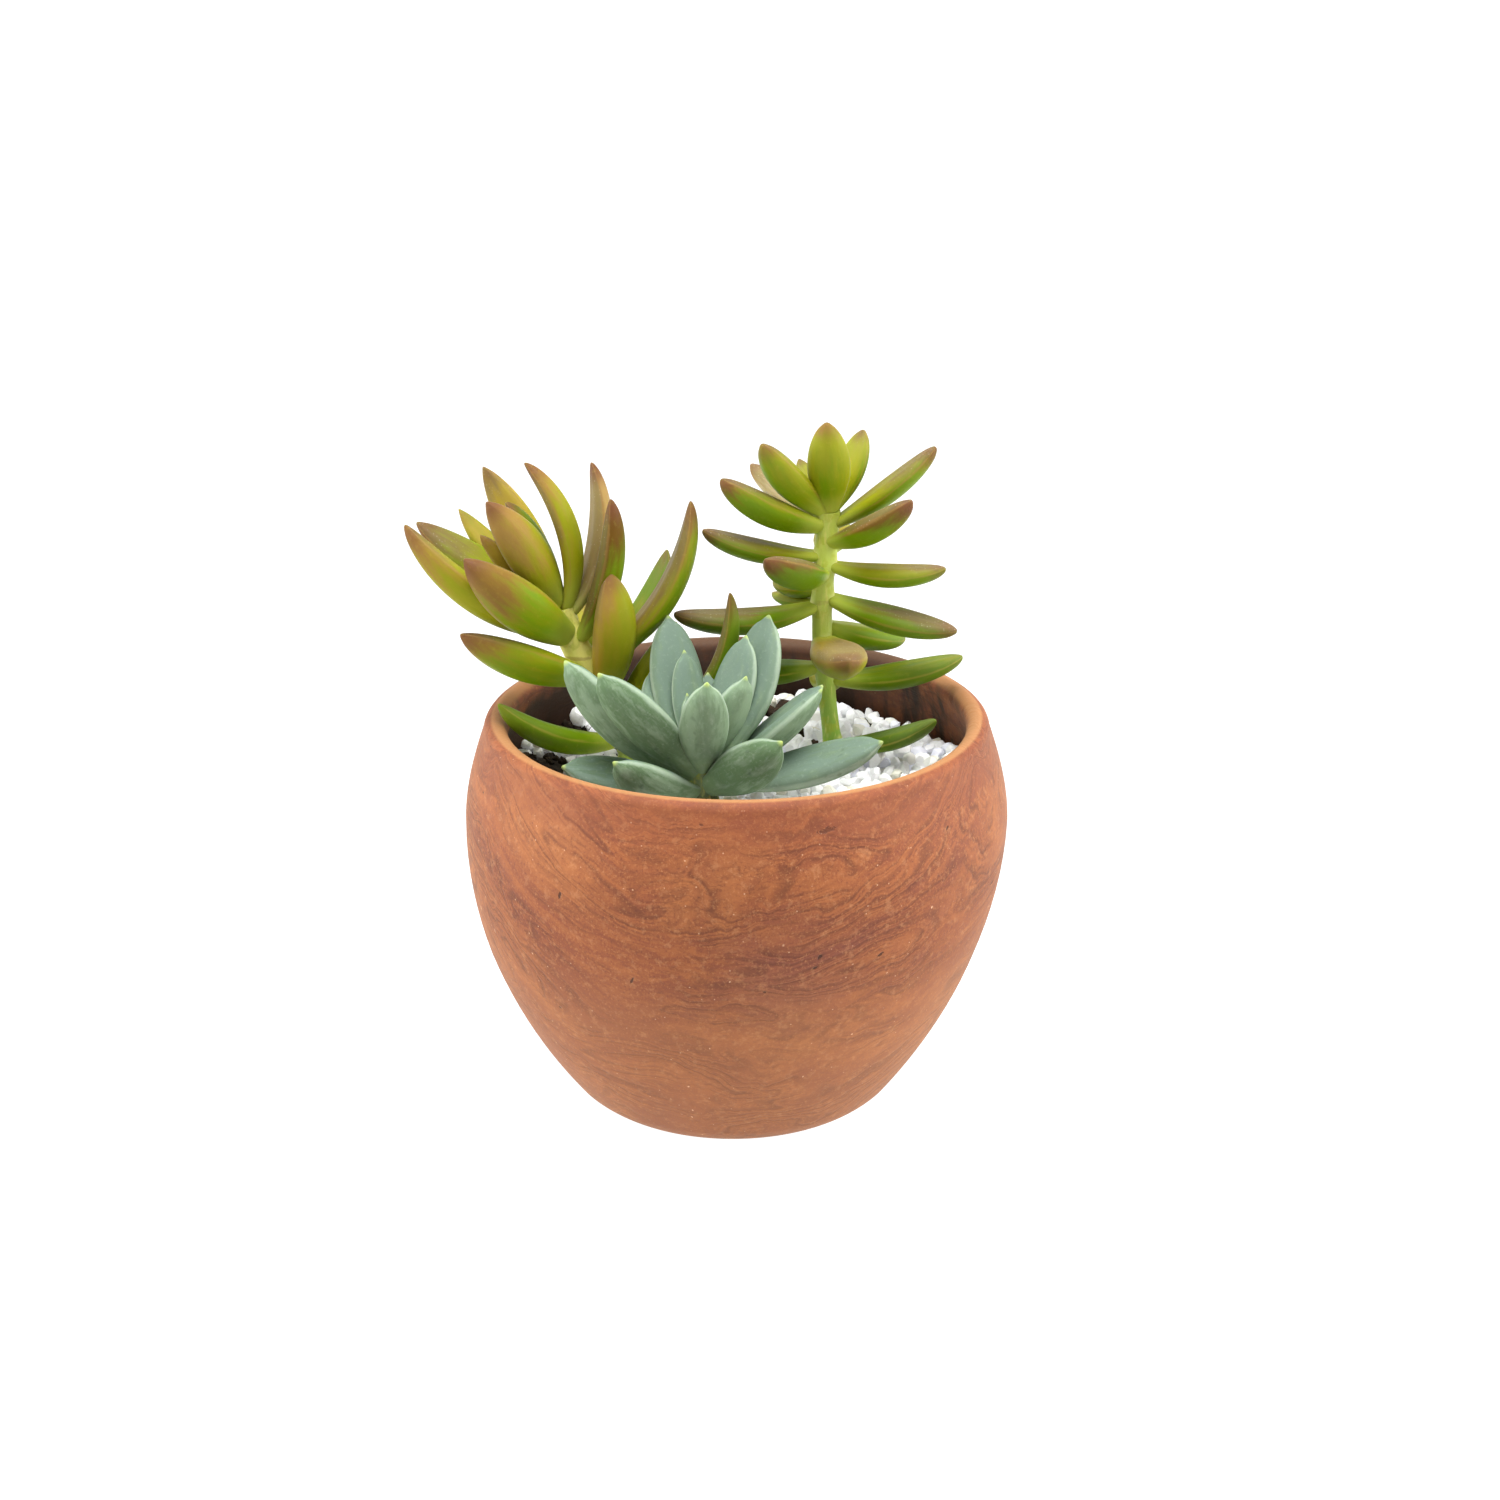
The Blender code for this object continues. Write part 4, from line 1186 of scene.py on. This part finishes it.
# %% Where stones come to rest
def leaf_balls():
    """The plants near the gravel as rows of balls: places and radii."""
    spots, radii = [], []
    for shoot in SHOOTS:
        for leaf, matrix in shoot_leaves(shoot):
            t = np.linspace(0.05, 1.0, 14)
            along, above, _ = midline(t, leaf.length * MM, leaf.curl)
            for a, h, share in zip(along, above, leaf_width(t, shoot.form)):
                spots.append(matrix @ Vector((a, 0.0, h)))
                radii.append(leaf.width * MM * shoot.form.thickness * share * 0.55)
        for place in stem_path(shoot):
            spots.append(place)
            radii.append(shoot.radius[0] * MM)
    low = [i for i, spot in enumerate(spots) if spot.z < GRAVEL_TOP + 0.006]
    return np.array([spots[i] for i in low]), np.array([radii[i] for i in low])


def gravel_top(x, y):
    """The height that the gravel is filled to: slow waves, and lower on the left."""
    waves = 0.0008 * math.sin(x * 90 + 1) + 0.0006 * math.sin(y * 120)
    return GRAVEL_TOP + waves - 0.0012 * (x < -0.036)


def drop_stones():
    draw = random.Random(21)
    balls, ball_radii = leaf_balls()
    spots, radii = np.zeros((STONE_COUNT, 3)), np.zeros(STONE_COUNT)
    count = 0
    for place, radius in FIRST_STONES:
        spots[count], radii[count] = place, radius
        count += 1
    for _ in range(STONE_COUNT - count):
        radius = draw.uniform(*(SMALL_STONES if draw.random() < SMALL_SHARE else LARGE_STONES))
        best = None
        x0, y0 = draw.uniform(-1, 1) * STONE_LIMIT, draw.uniform(-1, 1) * STONE_LIMIT
        for _ in range(ROLLS):
            x, y = x0 + draw.uniform(-1, 1) * radius * 1.5, y0 + draw.uniform(-1, 1) * radius * 1.5
            if math.hypot(x, y) > STONE_LIMIT - radius * 0.75 or bareness(x, y) > 0.45:
                continue
            z = ground_height(x, y) + radius * 0.5
            reach = (radii[:count] + radius) * PACKING
            apart = (spots[:count, 0] - x) ** 2 + (spots[:count, 1] - y) ** 2
            near = apart < reach**2
            if near.any():
                resting = spots[:count, 2][near] + np.sqrt(reach[near] ** 2 - apart[near])
                z = max(z, float(resting.max()))
            if best is None or z < best[2]:
                best = (x, y, z)
        if best is None or best[2] + radius * 0.8 > gravel_top(best[0], best[1]):
            continue
        if (np.linalg.norm(balls - np.array(best), axis=1) < ball_radii + radius * 0.72).any():
            continue
        spots[count], radii[count] = best, radius
        count += 1
    return [Stone(Vector(spots[i]), radii[i]) for i in range(count)]


# %% Gravel
def make_gravel():
    draw = random.Random(22)
    kinds = [make_stone(draw) for _ in range(STONE_KINDS)]
    stones = []
    for stone in drop_stones():
        kind = kinds[draw.randrange(STONE_KINDS)]
        shape = Vector((draw.uniform(1.0, 1.25), draw.uniform(0.85, 1.05), draw.uniform(0.75, 0.95)))
        copy = lay(kind, stone.place, random_turn(draw), shape * stone.radius)
        keep_values(copy.data, "tone", np.full(len(copy.data.vertices), draw.random()))
        stones.append(copy)
    for kind in kinds:
        bpy.data.objects.remove(kind)
    print(len(stones), "stones came to rest")
    return join("quartz_gravel", stones)


gravel = make_gravel()


# %% [markdown]
# Quartz lets light through from stone to stone, so even the stones in the shade stay bright. Tracing
# that would take long, and a faint glow does the same.

# %% Quartz
PASSED_LIGHT = 0.05


def quartz():
    stone = Paint("white_quartz", Specular_IOR_Level=0.4, Emission_Strength=PASSED_LIGHT,
                  Subsurface_Weight=0.25, Subsurface_Scale=0.002, Subsurface_Radius=(1.0, 1.0, 1.0))
    tone = stone.stored("tone")
    place = stone.object_place()
    veil = stone.cloud(place, 420.0, 3.0, 0.6)
    colour = stone.blend(tone, seen(240, 242, 240), seen(255, 255, 255))
    colour = stone.blend(stone.rise(tone, 0.28, 0.05) * 0.8, colour, seen(224, 220, 198))
    colour = stone.blend(stone.rise(tone, 0.82, 0.97) * 0.7, colour, seen(226, 228, 246))
    colour = stone.blend(stone.rise(veil, 0.55, 0.8) * 0.3, colour, seen(226, 232, 240))
    stone.feed(Base_Color=colour, Roughness=veil * 0.3 + 0.3, Emission_Color=colour)
    stone.raise_surface(veil, 0.00012)
    return stone.material


finish_piece(gravel, quartz(), "gravel", "gravel")

# %% [markdown]
# The photograph was taken in soft white light from both sides. The world is a white room that is
# dimmer behind the camera, so that the bowl's middle is a little darker than its flanks. Two
# softboxes left and right and one above add the highlights. The floor glows, like the milk glass
# of a product photographer, which lifts the shadow.

# %% Floor and light
ROOM_LIGHT = 0.82
FRONT_LIGHT = 0.27
FLOOR_GLOW = 1.02
FLOOR_SIZE = 16.0
Softbox = namedtuple("Softbox", "name place size power")
SOFTBOXES = (
    Softbox("left_box", (-0.75, -0.02, 0.30), 0.5, 4.6),
    Softbox("right_box", (0.75, -0.02, 0.30), 0.5, 4.8),
    Softbox("top_box", (0.02, -0.18, 1.0), 0.7, 14.0),
)


def add_floor():
    floor = add_alone(bpy.ops.mesh.primitive_plane_add, size=FLOOR_SIZE)
    floor.name = "floor"
    paper = Paint("lit_white", Base_Color=(0.2, 0.2, 0.2, 1.0), Roughness=0.9, Specular_IOR_Level=0.1,
                  Emission_Color=(1.0, 1.0, 1.0, 1.0), Emission_Strength=FLOOR_GLOW)
    floor.data.materials.append(paper.material)


def add_lights():
    world = bpy.data.worlds.new("white_room")
    world.use_nodes = True
    room = Nodes(world.node_tree)
    depth = room.parts(room.node("TexCoord", out="Generated"))[1]
    strength = room.rise(depth, -0.9, 0.1) * (ROOM_LIGHT - FRONT_LIGHT) + FRONT_LIGHT
    background = world.node_tree.nodes["Background"]
    background.inputs["Color"].default_value = (1.0, 1.0, 1.0, 1.0)
    room.tree.links.new(strength.socket, background.inputs["Strength"])
    bpy.context.scene.world = world
    for box in SOFTBOXES:
        data = bpy.data.lights.new(box.name, "AREA")
        data.size = box.size
        data.energy = box.power
        light = add_object(box.name, data)
        light.location = box.place
        light.rotation_euler = (AIM - light.location).to_track_quat("-Z", "Y").to_euler()


add_floor()
add_lights()
